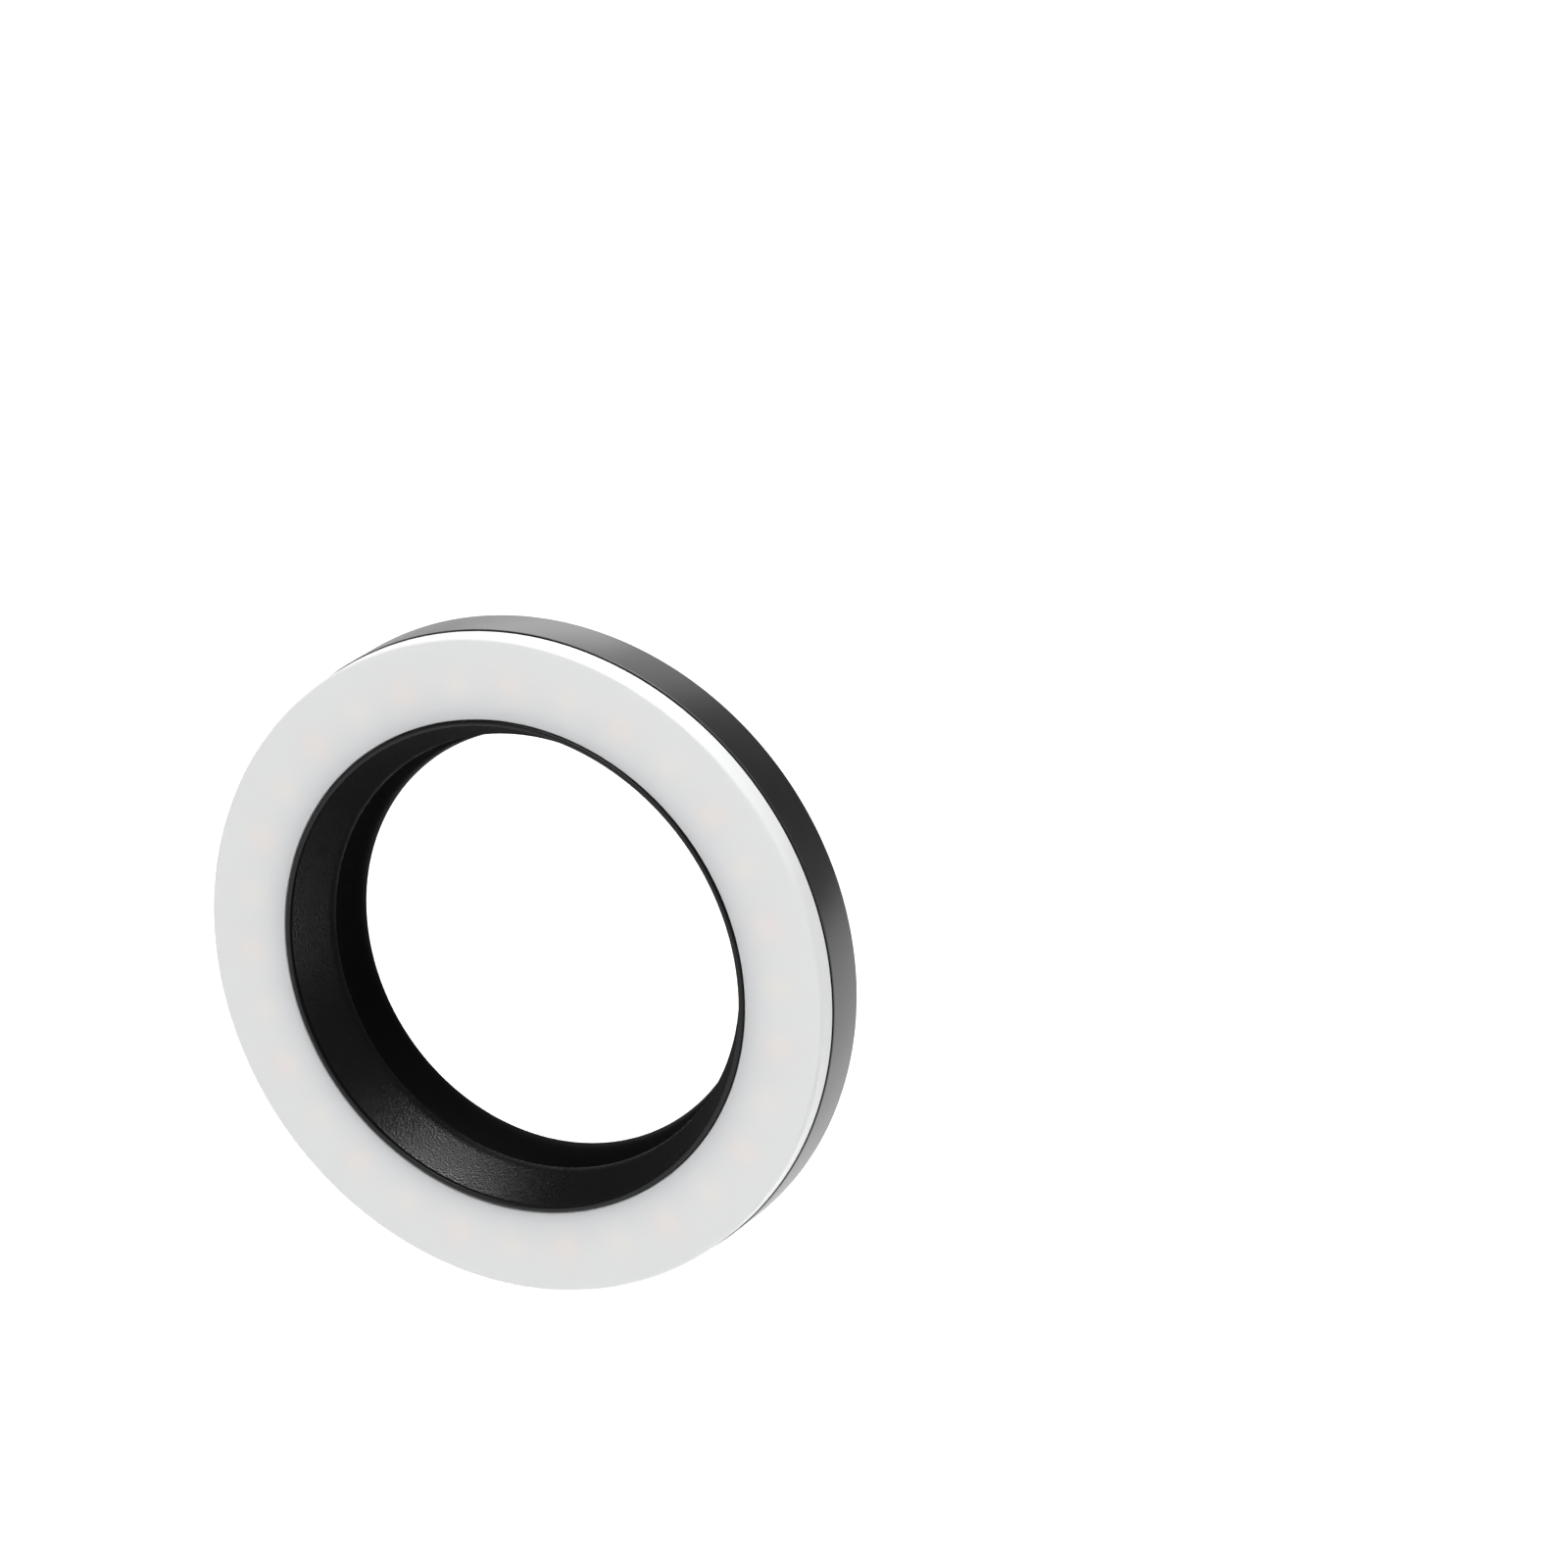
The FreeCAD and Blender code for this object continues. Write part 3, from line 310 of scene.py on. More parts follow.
def grain_group():
    """Fine grain of a blasted or spark-eroded surface, and the faint cloudiness of a handled one.

    Grain is noise at the grain size and Cloud is noise at the cloud size. Both are stretched about a half."""
    tree, inside, outside = group("surface_grain", {"Grain Size": 0.25 * mm, "Cloud Size": 12 * mm},
                                  ("Grain", "Cloud"))
    for size_name, output_name, detail, contrast in (("Grain Size", "Grain", 3.0, 2.2),
                                                     ("Cloud Size", "Cloud", 2.0, 1.8)):
        texture = tree.nodes.new("ShaderNodeTexNoise")
        texture.inputs["Detail"].default_value = detail
        tree.links.new(place_of(tree), texture.inputs["Vector"])
        tree.links.new(calculate(tree, "DIVIDE", 1.0, inside.outputs[size_name]), texture.inputs["Scale"])
        centred = calculate(tree, "SUBTRACT", texture.outputs["Fac"], 0.5)
        stretched = calculate(tree, "MULTIPLY_ADD", centred, contrast, 0.5)
        tree.links.new(clipped(tree, stretched), outside.inputs[output_name])
    return tree


surface_grain = grain_group()


def shared(tree, effect, **values):
    """A shared group placed in a material's tree with its own values; gives its outputs."""
    step = tree.nodes.new("ShaderNodeGroup")
    step.node_tree = effect
    for label, value in values.items():
        step.inputs[label.replace("_", " ")].default_value = value
    return step.outputs


def mixed(tree, share, first, second):
    """A colour between two by a share; each colour is a tuple or a socket."""
    mix = tree.nodes.new("ShaderNodeMix")
    mix.data_type = "RGBA"
    tree.links.new(share, mix.inputs["Factor"])
    for socket, value in ((mix.inputs["A"], first), (mix.inputs["B"], second)):
        if isinstance(value, tuple):
            socket.default_value = (*value, 1)
        else:
            tree.links.new(value, socket)
    return mix.outputs["Result"]


def between(tree, share, low, high):
    """A number between low and high as the share goes from 0 to 1."""
    return calculate(tree, "MULTIPLY_ADD", share, high - low, low)


def bump(tree, shader, height, depth):
    """Feed a height from 0 to 1 into the shader's normal, at a depth in metres."""
    step = tree.nodes.new("ShaderNodeBump")
    step.inputs["Distance"].default_value = depth
    tree.links.new(height, step.inputs["Height"])
    tree.links.new(step.outputs["Normal"], shader.inputs["Normal"])


def new_material(name, **constants):
    """A material with a Principled shader, and plain values set on the shader's own sockets."""
    material = bpy.data.materials.new(name)
    tree, output = shader_tree(material)
    shader = tree.nodes.new("ShaderNodeBsdfPrincipled")
    tree.links.new(shader.outputs["BSDF"], output.inputs["Surface"])
    for label, value in constants.items():
        shader.inputs[label.replace("_", " ")].default_value = value
    return material, tree, shader


def grained(name, dark, light, rough_low, rough_high, grain_size, grain_depth, cloud_size=12 * mm, **constants):
    """A finish whose colour and roughness vary with its grain and clouds, with the grain as relief."""
    material, tree, shader = new_material(name, **constants)
    grain = shared(tree, surface_grain, Grain_Size=grain_size, Cloud_Size=cloud_size)
    tone = calculate(tree, "ADD", calculate(tree, "MULTIPLY", grain["Grain"], 0.7),
                     calculate(tree, "MULTIPLY", grain["Cloud"], 0.3))
    tree.links.new(mixed(tree, tone, dark, light), shader.inputs["Base Color"])
    wear = calculate(tree, "ADD", calculate(tree, "MULTIPLY", grain["Grain"], 0.4),
                     calculate(tree, "MULTIPLY", grain["Cloud"], 0.6))
    tree.links.new(between(tree, wear, rough_low, rough_high), shader.inputs["Roughness"])
    bump(tree, shader, grain["Grain"], grain_depth)
    return material


def adapter_surface(columns=960, thread_rows=44):
    """The adapter's section carried round its axis, with its thread and its notches worked in.

    In the thread the radius is less by depth times a triangle wave of (distance along the axis + pitch times
    the turn) / pitch, which fades out at both ends. In the flange's rim it is less by the notch's depth where
    the arc from the nearest notch is under half its width."""
    head = section(
        (bore_front_radius + bore_chamfer, sleeve_front),
        (sleeve_radius, sleeve_front, 0.18 * mm),
        (sleeve_radius, flange_front),
        (keeper_inner_radius - glue_gap, flange_front),
        (keeper_inner_radius - glue_gap, flange_front - keeper_thickness),
        (keeper_outer_radius + glue_gap, flange_front - keeper_thickness),
        (keeper_outer_radius + glue_gap, flange_front),
        (flange_radius, flange_front, 0.1 * mm),
        (flange_radius, 0, 0.1 * mm),
        (thread_radius, 0),
    )
    thread = np.stack([np.full(thread_rows, thread_radius),
                       np.linspace(-thread_start, thread_chamfer - thread_end, thread_rows)], -1)
    tail = np.array([(thread_radius - thread_end_step, -thread_end), (bore_rear_radius, -thread_end),
                     (bore_front_radius, sleeve_front - bore_chamfer)])
    points = np.concatenate([head, thread, tail])
    in_thread = np.zeros(len(points))
    depth_in = np.arange(thread_rows) / (thread_rows - 1)
    fade = np.clip(np.minimum(depth_in, 1 - depth_in) * thread_fades, 0, 1)
    in_thread[len(head):len(head) + thread_rows] = fade
    in_rim = (points[:, 0] > flange_radius - flute_depth).astype(float)
    angle = np.linspace(0, 2 * math.pi, columns, endpoint=False)[None]
    turns = -points[:, 1:] / thread_pitch + angle / (2 * math.pi)
    wave = np.abs(2 * (turns % 1) - 1)
    pitch = 2 * math.pi / flute_count
    arc = np.abs((angle + pitch / 2) % pitch - pitch / 2) * flange_radius
    notch = np.clip((flute_width / 2 - arc) / flute_side + 0.5, 0, 1)
    radius = points[:, :1] - thread_depth * wave * in_thread[:, None] - flute_depth * notch * in_rim[:, None]
    grid = round_axis(radius, points[:, 1:], angle)
    return grid.reshape(-1, 3), quads(len(points), columns)


adapter_black = grained("adapter_black", (0.009, 0.009, 0.009), (0.016, 0.016, 0.016), 0.32, 0.42,
                        0.15 * mm, 0.004 * mm, IOR=1.6)
bore_black = grained("bore_black", (0.001, 0.001, 0.001), (0.003, 0.003, 0.003), 0.50, 0.62,
                     0.15 * mm, 0.006 * mm, IOR=1.45, Specular_IOR_Level=0.06)
adapter = add_object("adapter", *adapter_surface(), adapter_black, bore_black)
middles = face_middles(adapter)
in_bore = np.hypot(middles[:, 0], middles[:, 2]) < bore_front_radius + bore_margin
adapter.data.polygons.foreach_set("material_index", in_bore.astype(np.int32))
dress(adapter, "adapter", "adapter_anodised", "adapter_ring")


# Keeper ring: flat steel that the lamp's magnets pull on, glued into the flange's groove. It is face-turned
# and nickel-plated, so it shows fine rings.
def from_axis(tree):
    """Object coordinates in a tree, split up, and the distance from the ring's axis: the root of x^2 + z^2."""
    parts = tree.nodes.new("ShaderNodeSeparateXYZ")
    tree.links.new(place_of(tree), parts.inputs[0])
    squares = calculate(tree, "ADD", calculate(tree, "POWER", parts.outputs["X"], 2.0),
                        calculate(tree, "POWER", parts.outputs["Z"], 2.0))
    return parts.outputs, calculate(tree, "SQRT", squares)


def turned_group():
    """Fine rings that a lathe tool leaves round the axis.

    Rings is noise along (distance from the axis + distance along it) / spacing, stretched about a half."""
    tree, inside, outside = group("turned_rings", {"Spacing": 0.15 * mm}, ("Rings",))
    place, across = from_axis(tree)
    along = calculate(tree, "ADD", across, place["Y"])
    texture = tree.nodes.new("ShaderNodeTexNoise")
    texture.noise_dimensions = "1D"
    texture.inputs["Detail"].default_value = 3.0
    texture.inputs["Scale"].default_value = 1.0
    tree.links.new(calculate(tree, "DIVIDE", along, inside.outputs["Spacing"]), texture.inputs["W"])
    centred = calculate(tree, "SUBTRACT", texture.outputs["Fac"], 0.5)
    tree.links.new(calculate(tree, "MULTIPLY_ADD", centred, 2.0, 0.5), outside.inputs["Rings"])
    return tree


turned_rings = turned_group()


def paint(material, *names):
    """Give CAD nodes a material in place of the one they came with."""
    for name in names:
        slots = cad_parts[name].data.materials
        slots.clear()
        slots.append(material)


def plated(name, dark, light, rough_low, rough_high, spacing):
    """Turned and plated metal: colour, roughness and relief follow the tool's rings and a faint clouding."""
    material, tree, shader = new_material(name, Metallic=1.0)
    rings = shared(tree, turned_rings, Spacing=spacing)["Rings"]
    cloud = shared(tree, surface_grain, Grain_Size=0.3 * mm, Cloud_Size=6 * mm)["Cloud"]
    tree.links.new(mixed(tree, cloud, dark, light), shader.inputs["Base Color"])
    tree.links.new(between(tree, rings, rough_low, rough_high), shader.inputs["Roughness"])
    bump(tree, shader, rings, 0.004 * mm)
    return material


paint(plated("keeper_steel", (0.50, 0.49, 0.47), (0.60, 0.59, 0.57), 0.22, 0.38, 0.12 * mm), "keeper_ring")

# Rear housing: a tray turned from aluminium, with a closed back, an outer band, a hub that runs on the
# adapter, and pillars and bosses for the boards. It is bead-blasted and anodised black. The openings for the
# keys, the inlet and the display are milled through the band, with flared edges.
housing_low, housing_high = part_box("rear_housing")
band_radius = housing_high[0]
lamp_back = -housing_high[1]
rim_front = -housing_low[1]
band_wall = 1.2 * mm
band_inner_radius = band_radius - band_wall
band_chamfer = 0.5 * mm
root_sunk = 0.6 * mm
floor_front = -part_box("cell_pads")[1][1]
recess_radius = 35.9 * mm
journal_radius = 32.65 * mm
seat = flange_front + 0.1 * mm
hub_radius = 36.9 * mm
hub_front = -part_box("magnet_retainer")[1][1]
edge_break = 0.12 * mm
screw_radius = 0.7 * mm
screw_head_radius = 1.3 * mm
head_play = 0.1 * mm
head_seat = seat + 0.9 * mm
pillar_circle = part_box("board_screws")[1][0] - screw_head_radius
pillar_radius = 2.0 * mm
pillar_front = -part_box("led_board")[1][1]
pillar_hole = 3.1 * mm
boss_circle = 39.4 * mm
boss_radius = 1.7 * mm
boss_front = -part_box("control_board")[1][1]
boss_hole = 1.1 * mm
boss_angles = (187, 246.2, 279.8)
magnet_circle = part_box("bezel_screws")[1][0] - screw_head_radius
magnet_radius = 1.5 * mm
magnet_back = -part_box("magnets")[1][1]
control_middle = -(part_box("usb_socket")[0][1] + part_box("usb_socket")[1][1]) / 2
key_length = 6.4 * mm
key_width = 2.6 * mm
key_clearance = 0.2 * mm
key_flare = 0.2 * mm
key_angles = {"brighter": 196, "colour": 210, "dimmer": 224, "power": 252}
usb_angle = math.radians(270)
usb_width = 8.94 * mm
usb_height = 3.26 * mm
usb_clearance = 0.15 * mm
usb_flare = 0.15 * mm
status_angle = math.radians(286)
status_length = 6.4 * mm
status_width = 1.2 * mm
status_clearance = 0.05 * mm
status_flare = 0.08 * mm


def turned(points, columns=720):
    """Surface of a closed section carried round the ring's axis: its points, and its quads facing out."""
    radius, forward = points[:, 0], points[:, 1]
    area = np.sum(radius * np.roll(forward, -1) - np.roll(radius, -1) * forward)
    if area > 0:
        points = points[::-1]
    angle = np.linspace(0, 2 * math.pi, columns, endpoint=False)
    grid = round_axis(points[:, :1], points[:, 1:], angle[None])
    return grid.reshape(-1, 3), quads(len(points), columns)


def pill(length, width, growth=0.0, straight=8, bend=16):
    """Contour of a long hole with round ends, as steps sideways and forward.

    Each point is a place on the middle line plus (width / 2 + growth) in a direction that turns round it."""
    reach = (length - width) / 2
    radius = width / 2 + growth
    along = np.linspace(-reach, reach, straight, endpoint=False)
    swing = np.linspace(math.pi / 2, -math.pi / 2, bend, endpoint=False)
    middle = np.concatenate([along, np.full(bend, reach), -along, np.full(bend, -reach)])
    turn = np.concatenate([np.full(straight, math.pi / 2), swing,
                           np.full(straight, -math.pi / 2), swing - math.pi])
    return middle + radius * np.cos(turn), radius * np.sin(turn)


def beside(out, sideways, forward, angle):
    """Places given by steps out along a radius, sideways and forward, at an angle round the ring."""
    out, sideways, forward = np.broadcast_arrays(out, sideways, forward)
    return np.stack([out * math.cos(angle) - sideways * math.sin(angle), -forward,
                     out * math.sin(angle) + sideways * math.cos(angle)], -1)


def lofted(rows):
    """Surface through rows of places, with a flat face at each end: its points and its faces."""
    rows = np.asarray(rows)
    count, columns = rows.shape[:2]
    last = (count - 1) * columns
    ends = [list(range(columns)), list(range(last, last + columns))[::-1]]
    return rows.reshape(-1, 3), quads(count, columns, close_rows=False).tolist() + ends


def wall_cutter(angle, length, width, flare):
    """A pill-shaped tool through the band, flared where it meets the band's curved outside."""
    rows = []
    for growth, depth in ((0, None), (0, flare), (flare * 2, -flare)):
        sideways, up = pill(length, width, growth)
        out = np.sqrt(band_radius ** 2 - sideways ** 2)
        out = np.full_like(out, band_inner_radius - band_wall) if depth is None else out - depth
        rows.append(beside(out, sideways, control_middle + up, angle))
    return lofted(rows)


def rod(circle, angle, *rings, points=24):
    """A round rod on a circle round the axis and square to it, through (radius, forward) rings from its back."""
    turn = np.linspace(0, 2 * math.pi, points, endpoint=False)
    return lofted([beside(circle + radius * np.cos(turn), -radius * np.sin(turn), forward, angle)
                   for radius, forward in rings])


def rods(circle, angles, *rings):
    """Like rods on a circle round the axis, one at each angle."""
    return [rod(circle, angle, *rings) for angle in angles]


def joined(parts):
    """Several surfaces as one: their points stacked and their faces renumbered."""
    points, faces, count = [], [], 0
    for part_points, part_faces in parts:
        points.append(part_points)
        faces += [[corner + count for corner in face] for face in part_faces]
        count += len(part_points)
    return np.concatenate(points), faces


def combine(thing, tools, operation, material):
    """Cut tools out of a piece or add them to it, and keep the result as its mesh."""
    tool = add_object("tool", *joined(tools), material)
    step = thing.modifiers.new("combine", "BOOLEAN")
    step.operation = operation
    step.solver = "MANIFOLD"
    step.material_mode = "TRANSFER"
    step.object = tool
    shape = thing.evaluated_get(bpy.context.evaluated_depsgraph_get())
    mesh = bpy.data.meshes.new_from_object(shape)
    thing.modifiers.clear()
    thing.data = mesh
    bpy.data.objects.remove(tool)


housing_black = grained("housing_black", (0.009, 0.0088, 0.0086), (0.016, 0.0156, 0.0152), 0.27, 0.35,
                        0.12 * mm, 0.003 * mm, IOR=1.8)
housing = add_object("housing", *turned(section(
    (band_radius, rim_front, edge_break),
    (band_radius, lamp_back + band_chamfer, edge_break * 2),
    (band_radius - band_chamfer, lamp_back, edge_break * 2),
    (recess_radius, lamp_back, edge_break),
    (recess_radius, seat),
    (journal_radius, seat, edge_break),
    (journal_radius, hub_front, edge_break),
    (hub_radius, hub_front, edge_break),
    (hub_radius, floor_front),
    (band_inner_radius, floor_front),
    (band_inner_radius, rim_front, edge_break),
)), housing_black)
sixths = [math.radians(60 * index) for index in range(6)]
twelfths = [math.radians(15 + 30 * index) for index in range(12)]
bosses = [math.radians(angle) for angle in boss_angles]
root = floor_front - root_sunk
combine(housing, rods(pillar_circle, sixths, (pillar_radius, root), (pillar_radius, pillar_front))
        + rods(boss_circle, bosses, (boss_radius, root), (boss_radius, boss_front)), "UNION", housing_black)
openings = [wall_cutter(angle, length + clearance * 2, width + clearance * 2, flare)
            for angle, length, width, clearance, flare in (
                *[(math.radians(angle), key_length, key_width, key_clearance, key_flare)
                  for angle in key_angles.values()],
                (usb_angle, usb_width, usb_height, usb_clearance, usb_flare),
                (status_angle, status_length, status_width, status_clearance, status_flare))]
tapped, pocket = screw_radius + glue_gap, magnet_radius + glue_gap
drilled, head_room = screw_radius + head_play, screw_head_radius + head_play
openings += rods(pillar_circle, sixths, (tapped, pillar_front - pillar_hole), (tapped, pillar_front + mm))
openings += rods(boss_circle, bosses, (tapped, boss_front - boss_hole), (tapped, boss_front + mm))
openings += rods(magnet_circle, twelfths, (pocket, magnet_back), (pocket, hub_front + mm))
openings += rods(magnet_circle, sixths, (head_room, seat - 0.3 * mm), (head_room, head_seat),
                 (drilled, head_seat), (drilled, hub_front + mm))
combine(housing, openings, "DIFFERENCE", housing_black)
dress(housing, "lamp", "housing_anodised", "rear_housing")

# Magnets and retainer: twelve nickel-plated discs in the hub's pockets, and the thin black plastic ring that
# closes the pockets under the bezel
paint(grained("magnet_nickel", (0.62, 0.61, 0.58), (0.72, 0.71, 0.69), 0.12, 0.24, 0.4 * mm, 0.002 * mm,
              Metallic=1.0), "magnets")
paint(grained("retainer_sheet", (0.02, 0.02, 0.02), (0.035, 0.035, 0.035), 0.45, 0.6, 0.1 * mm, 0.004 * mm),
      "magnet_retainer")

# Battery: four flat cells in laminated foil, stuck to the floor with foam tape and joined by an amber
# flexible strip with copper tracks that ends in a cream plug
paint(grained("cell_foil", (0.58, 0.59, 0.60), (0.76, 0.77, 0.78), 0.25, 0.42, 1.6 * mm, 0.05 * mm,
              Metallic=0.9), "battery_cell_1", "battery_cell_2", "battery_cell_3", "battery_cell_4")
paint(grained("foam_tape", (0.06, 0.06, 0.06), (0.16, 0.16, 0.16), 0.8, 0.95, 0.25 * mm, 0.06 * mm),
      "cell_pads")
paint(grained("connector_cream", (0.70, 0.66, 0.56), (0.82, 0.78, 0.68), 0.4, 0.5, 0.3 * mm, 0.003 * mm),
      "battery_connector")


def tracks_group():
    """Copper tracks that run round the axis on a board or strip.

    The distance from the axis over the pitch, plus a slow noise of the place, is folded to 0..1. Tracks is 1
    in the folded part under the width's share of the pitch, with soft sides."""
    tree, inside, outside = group("copper_tracks", {"Pitch": 0.8 * mm, "Share": 0.4, "Wander": 1.0},
                                  ("Tracks",))
    lanes = calculate(tree, "DIVIDE", from_axis(tree)[1], inside.outputs["Pitch"])
    cloud = shared(tree, surface_grain, Grain_Size=2 * mm, Cloud_Size=5 * mm)["Cloud"]
    wandering = calculate(tree, "MULTIPLY_ADD", cloud, inside.outputs["Wander"], lanes)
    folded = calculate(tree, "FRACT", wandering)
    slope = calculate(tree, "MULTIPLY", calculate(tree, "SUBTRACT", inside.outputs["Share"], folded), 12.0)
    tree.links.new(clipped(tree, slope), outside.inputs["Tracks"])
    return tree


copper_tracks = tracks_group()


def board(name, mask_dark, mask_light, track, pitch, share, wander):
    """Circuit board or strip: a coloured mask with tracks that show through and stand up a little."""
    material, tree, shader = new_material(name, IOR=1.5)
    lines = shared(tree, copper_tracks, Pitch=pitch, Share=share, Wander=wander)["Tracks"]
    grain = shared(tree, surface_grain, Grain_Size=0.2 * mm, Cloud_Size=8 * mm)
    ground = mixed(tree, grain["Cloud"], mask_dark, mask_light)
    tree.links.new(mixed(tree, lines, ground, track), shader.inputs["Base Color"])
    tree.links.new(between(tree, grain["Grain"], 0.28, 0.4), shader.inputs["Roughness"])
    bump(tree, shader, lines, 0.03 * mm)
    return material


paint(board("flex_amber", (0.45, 0.20, 0.04), (0.60, 0.30, 0.07), (0.75, 0.42, 0.16), 0.4 * mm, 0.5, 0.0),
      "battery_flex")

# Control board: an arc of green board on three bosses, with the lamp driver and charging chips, a coil, the
# header to the lamp board, and four side-push switches with white plungers
paint(board("control_green", (0.012, 0.10, 0.045), (0.02, 0.14, 0.06), (0.05, 0.24, 0.11), 0.9 * mm, 0.4, 1.2),
      "control_board")
paint(grained("chip_black", (0.012, 0.012, 0.012), (0.03, 0.03, 0.03), 0.5, 0.65, 0.08 * mm, 0.006 * mm),
      "led_driver_chip", "charge_chip")
paint(grained("coil_ferrite", (0.05, 0.05, 0.052), (0.12, 0.12, 0.125), 0.55, 0.75, 0.3 * mm, 0.04 * mm),
      "power_inductor")
paint(grained("header_black", (0.015, 0.015, 0.015), (0.03, 0.03, 0.03), 0.4, 0.5, 0.3 * mm, 0.004 * mm),
      "board_header")
paint(grained("switch_black", (0.02, 0.02, 0.02), (0.045, 0.045, 0.045), 0.42, 0.55, 0.25 * mm, 0.004 * mm),
      "button_switches")
paint(grained("plunger_white", (0.70, 0.70, 0.68), (0.82, 0.82, 0.80), 0.35, 0.45, 0.3 * mm, 0.003 * mm),
      *[f"{name}_switch_plunger" for name in key_angles])

# Keys: black moulded caps with a soft crown, sprung against their switches. Each carries a plain mark cut
# into its face and filled with white: plus, half disc, minus and the power sign.
key_proud = 0.6 * mm
key_face = band_radius + key_proud
key_flange = 0.5 * mm
key_flange_near = 44.15 * mm
key_flange_far = 44.95 * mm
key_round = 0.45 * mm
key_crown = 0.12 * mm
key_edge = 0.1 * mm
key_ridge = 0.03 * mm
mark_depth = 0.16 * mm
mark_line = 0.26 * mm
mark_reach = 0.74 * mm


def key_cap(angle):
    """Pills of growing step out: the flange, the cap's straight side, its rounded edge and its crown.

    The crown falls by the square of the share of the way from the middle line to the edge, and the whole face
    follows a circle round the ring's axis."""
    rows = []
    edge = key_face - key_crown - key_round
    side = [(key_flange - key_edge, key_flange_near, 0), (key_flange, key_flange_near + key_edge, 0),
            (key_flange, key_flange_far - key_edge, 0), (key_flange - key_edge, key_flange_far, 0),
            (0, key_flange_far, 0), (0, key_flange_far + key_edge, 0), (0, edge, 1)]
    turns = np.linspace(0, math.pi / 2, 9)[1:]
    side += [(-key_round * (1 - math.cos(turn)), edge + key_round * math.sin(turn), 1) for turn in turns]
    inner = key_width / 2 - key_ridge
    for share in np.linspace(0, 1, 9)[1:]:
        growth = -key_round - (inner - key_round) * share
        side.append((growth, key_face - key_crown * (1 - share) ** 2, 1))
    for growth, out, bent in side:
        sideways, up = pill(key_length, key_width, growth)
        follow = (np.sqrt(key_face ** 2 - sideways ** 2) - key_face) * bent
        rows.append(beside(out + follow, sideways, control_middle + up, angle))
    return lofted(rows)


def prism(sideways, up, angle):
    """A mark's contour carried from just under the key's face to well over it."""
    rows = [beside(level, np.asarray(sideways), control_middle + np.asarray(up), angle)
            for level in (key_face - mark_depth, key_face + mm)]
    return lofted(rows)


def arc_band(radius, line, start, end, points=40):
    """Contour of a line bent round a circle: its outer arc from start to end, and its inner arc back."""
    turn = np.radians(np.linspace(start, end, points))
    reach = np.concatenate([np.full(points, radius), np.full(points, radius - line)])
    both = np.concatenate([turn, turn[::-1]])
    return reach * np.sin(both), reach * np.cos(both)


def plus_sign(reach, line):
    """Contour of a plus: twelve corners, clockwise from the top bar's left corner."""
    half = line / 2
    steps = np.array([(-half, reach), (half, reach), (half, half), (reach, half), (reach, -half),
                      (half, -half), (half, -reach), (-half, -reach), (-half, -half), (-reach, -half),
                      (-reach, half), (-half, half)])
    return steps[:, 0], steps[:, 1]


def key_marks(name, angle):
    """The cutting tools of one key's mark."""
    if name == "brighter":
        return [prism(*plus_sign(mark_reach, mark_line), angle)]
    if name == "dimmer":
        return [prism(*pill(mark_reach * 2, mark_line), angle)]
    if name == "power":
        bar = (np.array([-0.5, 0.5, 0.5, -0.5]) * mark_line, np.array([1.15, 1.15, 0.1, 0.1]) * mark_reach)
        return [prism(*arc_band(mark_reach, mark_line * 0.85, 38, 322), angle), prism(*bar, angle)]
    disc = np.radians(np.linspace(0, 180, 24))
    half_disc = (0.55 * mark_reach * np.sin(disc), 0.55 * mark_reach * np.cos(disc))
    return [prism(*arc_band(mark_reach, mark_line * 0.7, 1, 359), angle), prism(*half_disc, angle)]


key_black = grained("key_black", (0.012, 0.012, 0.012), (0.024, 0.024, 0.024), 0.40, 0.50,
                    0.16 * mm, 0.008 * mm)
mark_white = grained("mark_white", (0.62, 0.62, 0.61), (0.74, 0.74, 0.73), 0.5, 0.6, 0.1 * mm, 0.004 * mm)
for name, angle in key_angles.items():
    key = add_object(f"{name}_key_cap", *key_cap(math.radians(angle)), key_black)
    combine(key, key_marks(name, math.radians(angle)), "DIFFERENCE", mark_white)
    dress(key, f"{name}_key", "key_plastic", f"{name}_button")

# Charging inlet: a steel shell drawn to a long round shape and rolled smooth at its mouth, with a black
# tongue inside that carries gilded contacts on both faces
usb_mouth = band_radius - 0.3 * mm
usb_depth = 7.35 * mm
usb_wall = 0.3 * mm
usb_back = 0.5 * mm
tongue_tip = 44.95 * mm
tongue_thickness = 0.7 * mm
contact_pitch = 0.5 * mm
contact_count = 12
contact_half_width = 0.14 * mm
contact_inset = 0.3 * mm
contact_length = 3.2 * mm
contact_sunk = 0.02 * mm
contact_height = 0.05 * mm


def usb_shell():
    """Pills along the inlet's depth: up the outside, round the mouth on half a circle, and down the inside."""
    lip = usb_wall / 2
    turns = np.linspace(0, math.pi, 9)
    levels = [(-0.1 * mm, usb_mouth - usb_depth), (0, usb_mouth - usb_depth + 0.1 * mm)]
    levels += [(-lip + lip * math.cos(turn), usb_mouth - lip + lip * math.sin(turn)) for turn in turns]
    levels += [(-usb_wall, usb_mouth - usb_depth + usb_back)]
    rows = []
    for growth, out in levels:
        sideways, up = pill(usb_width, usb_height, growth)
        rows.append(beside(out, sideways, control_middle + up, usb_angle))
    return lofted(rows)


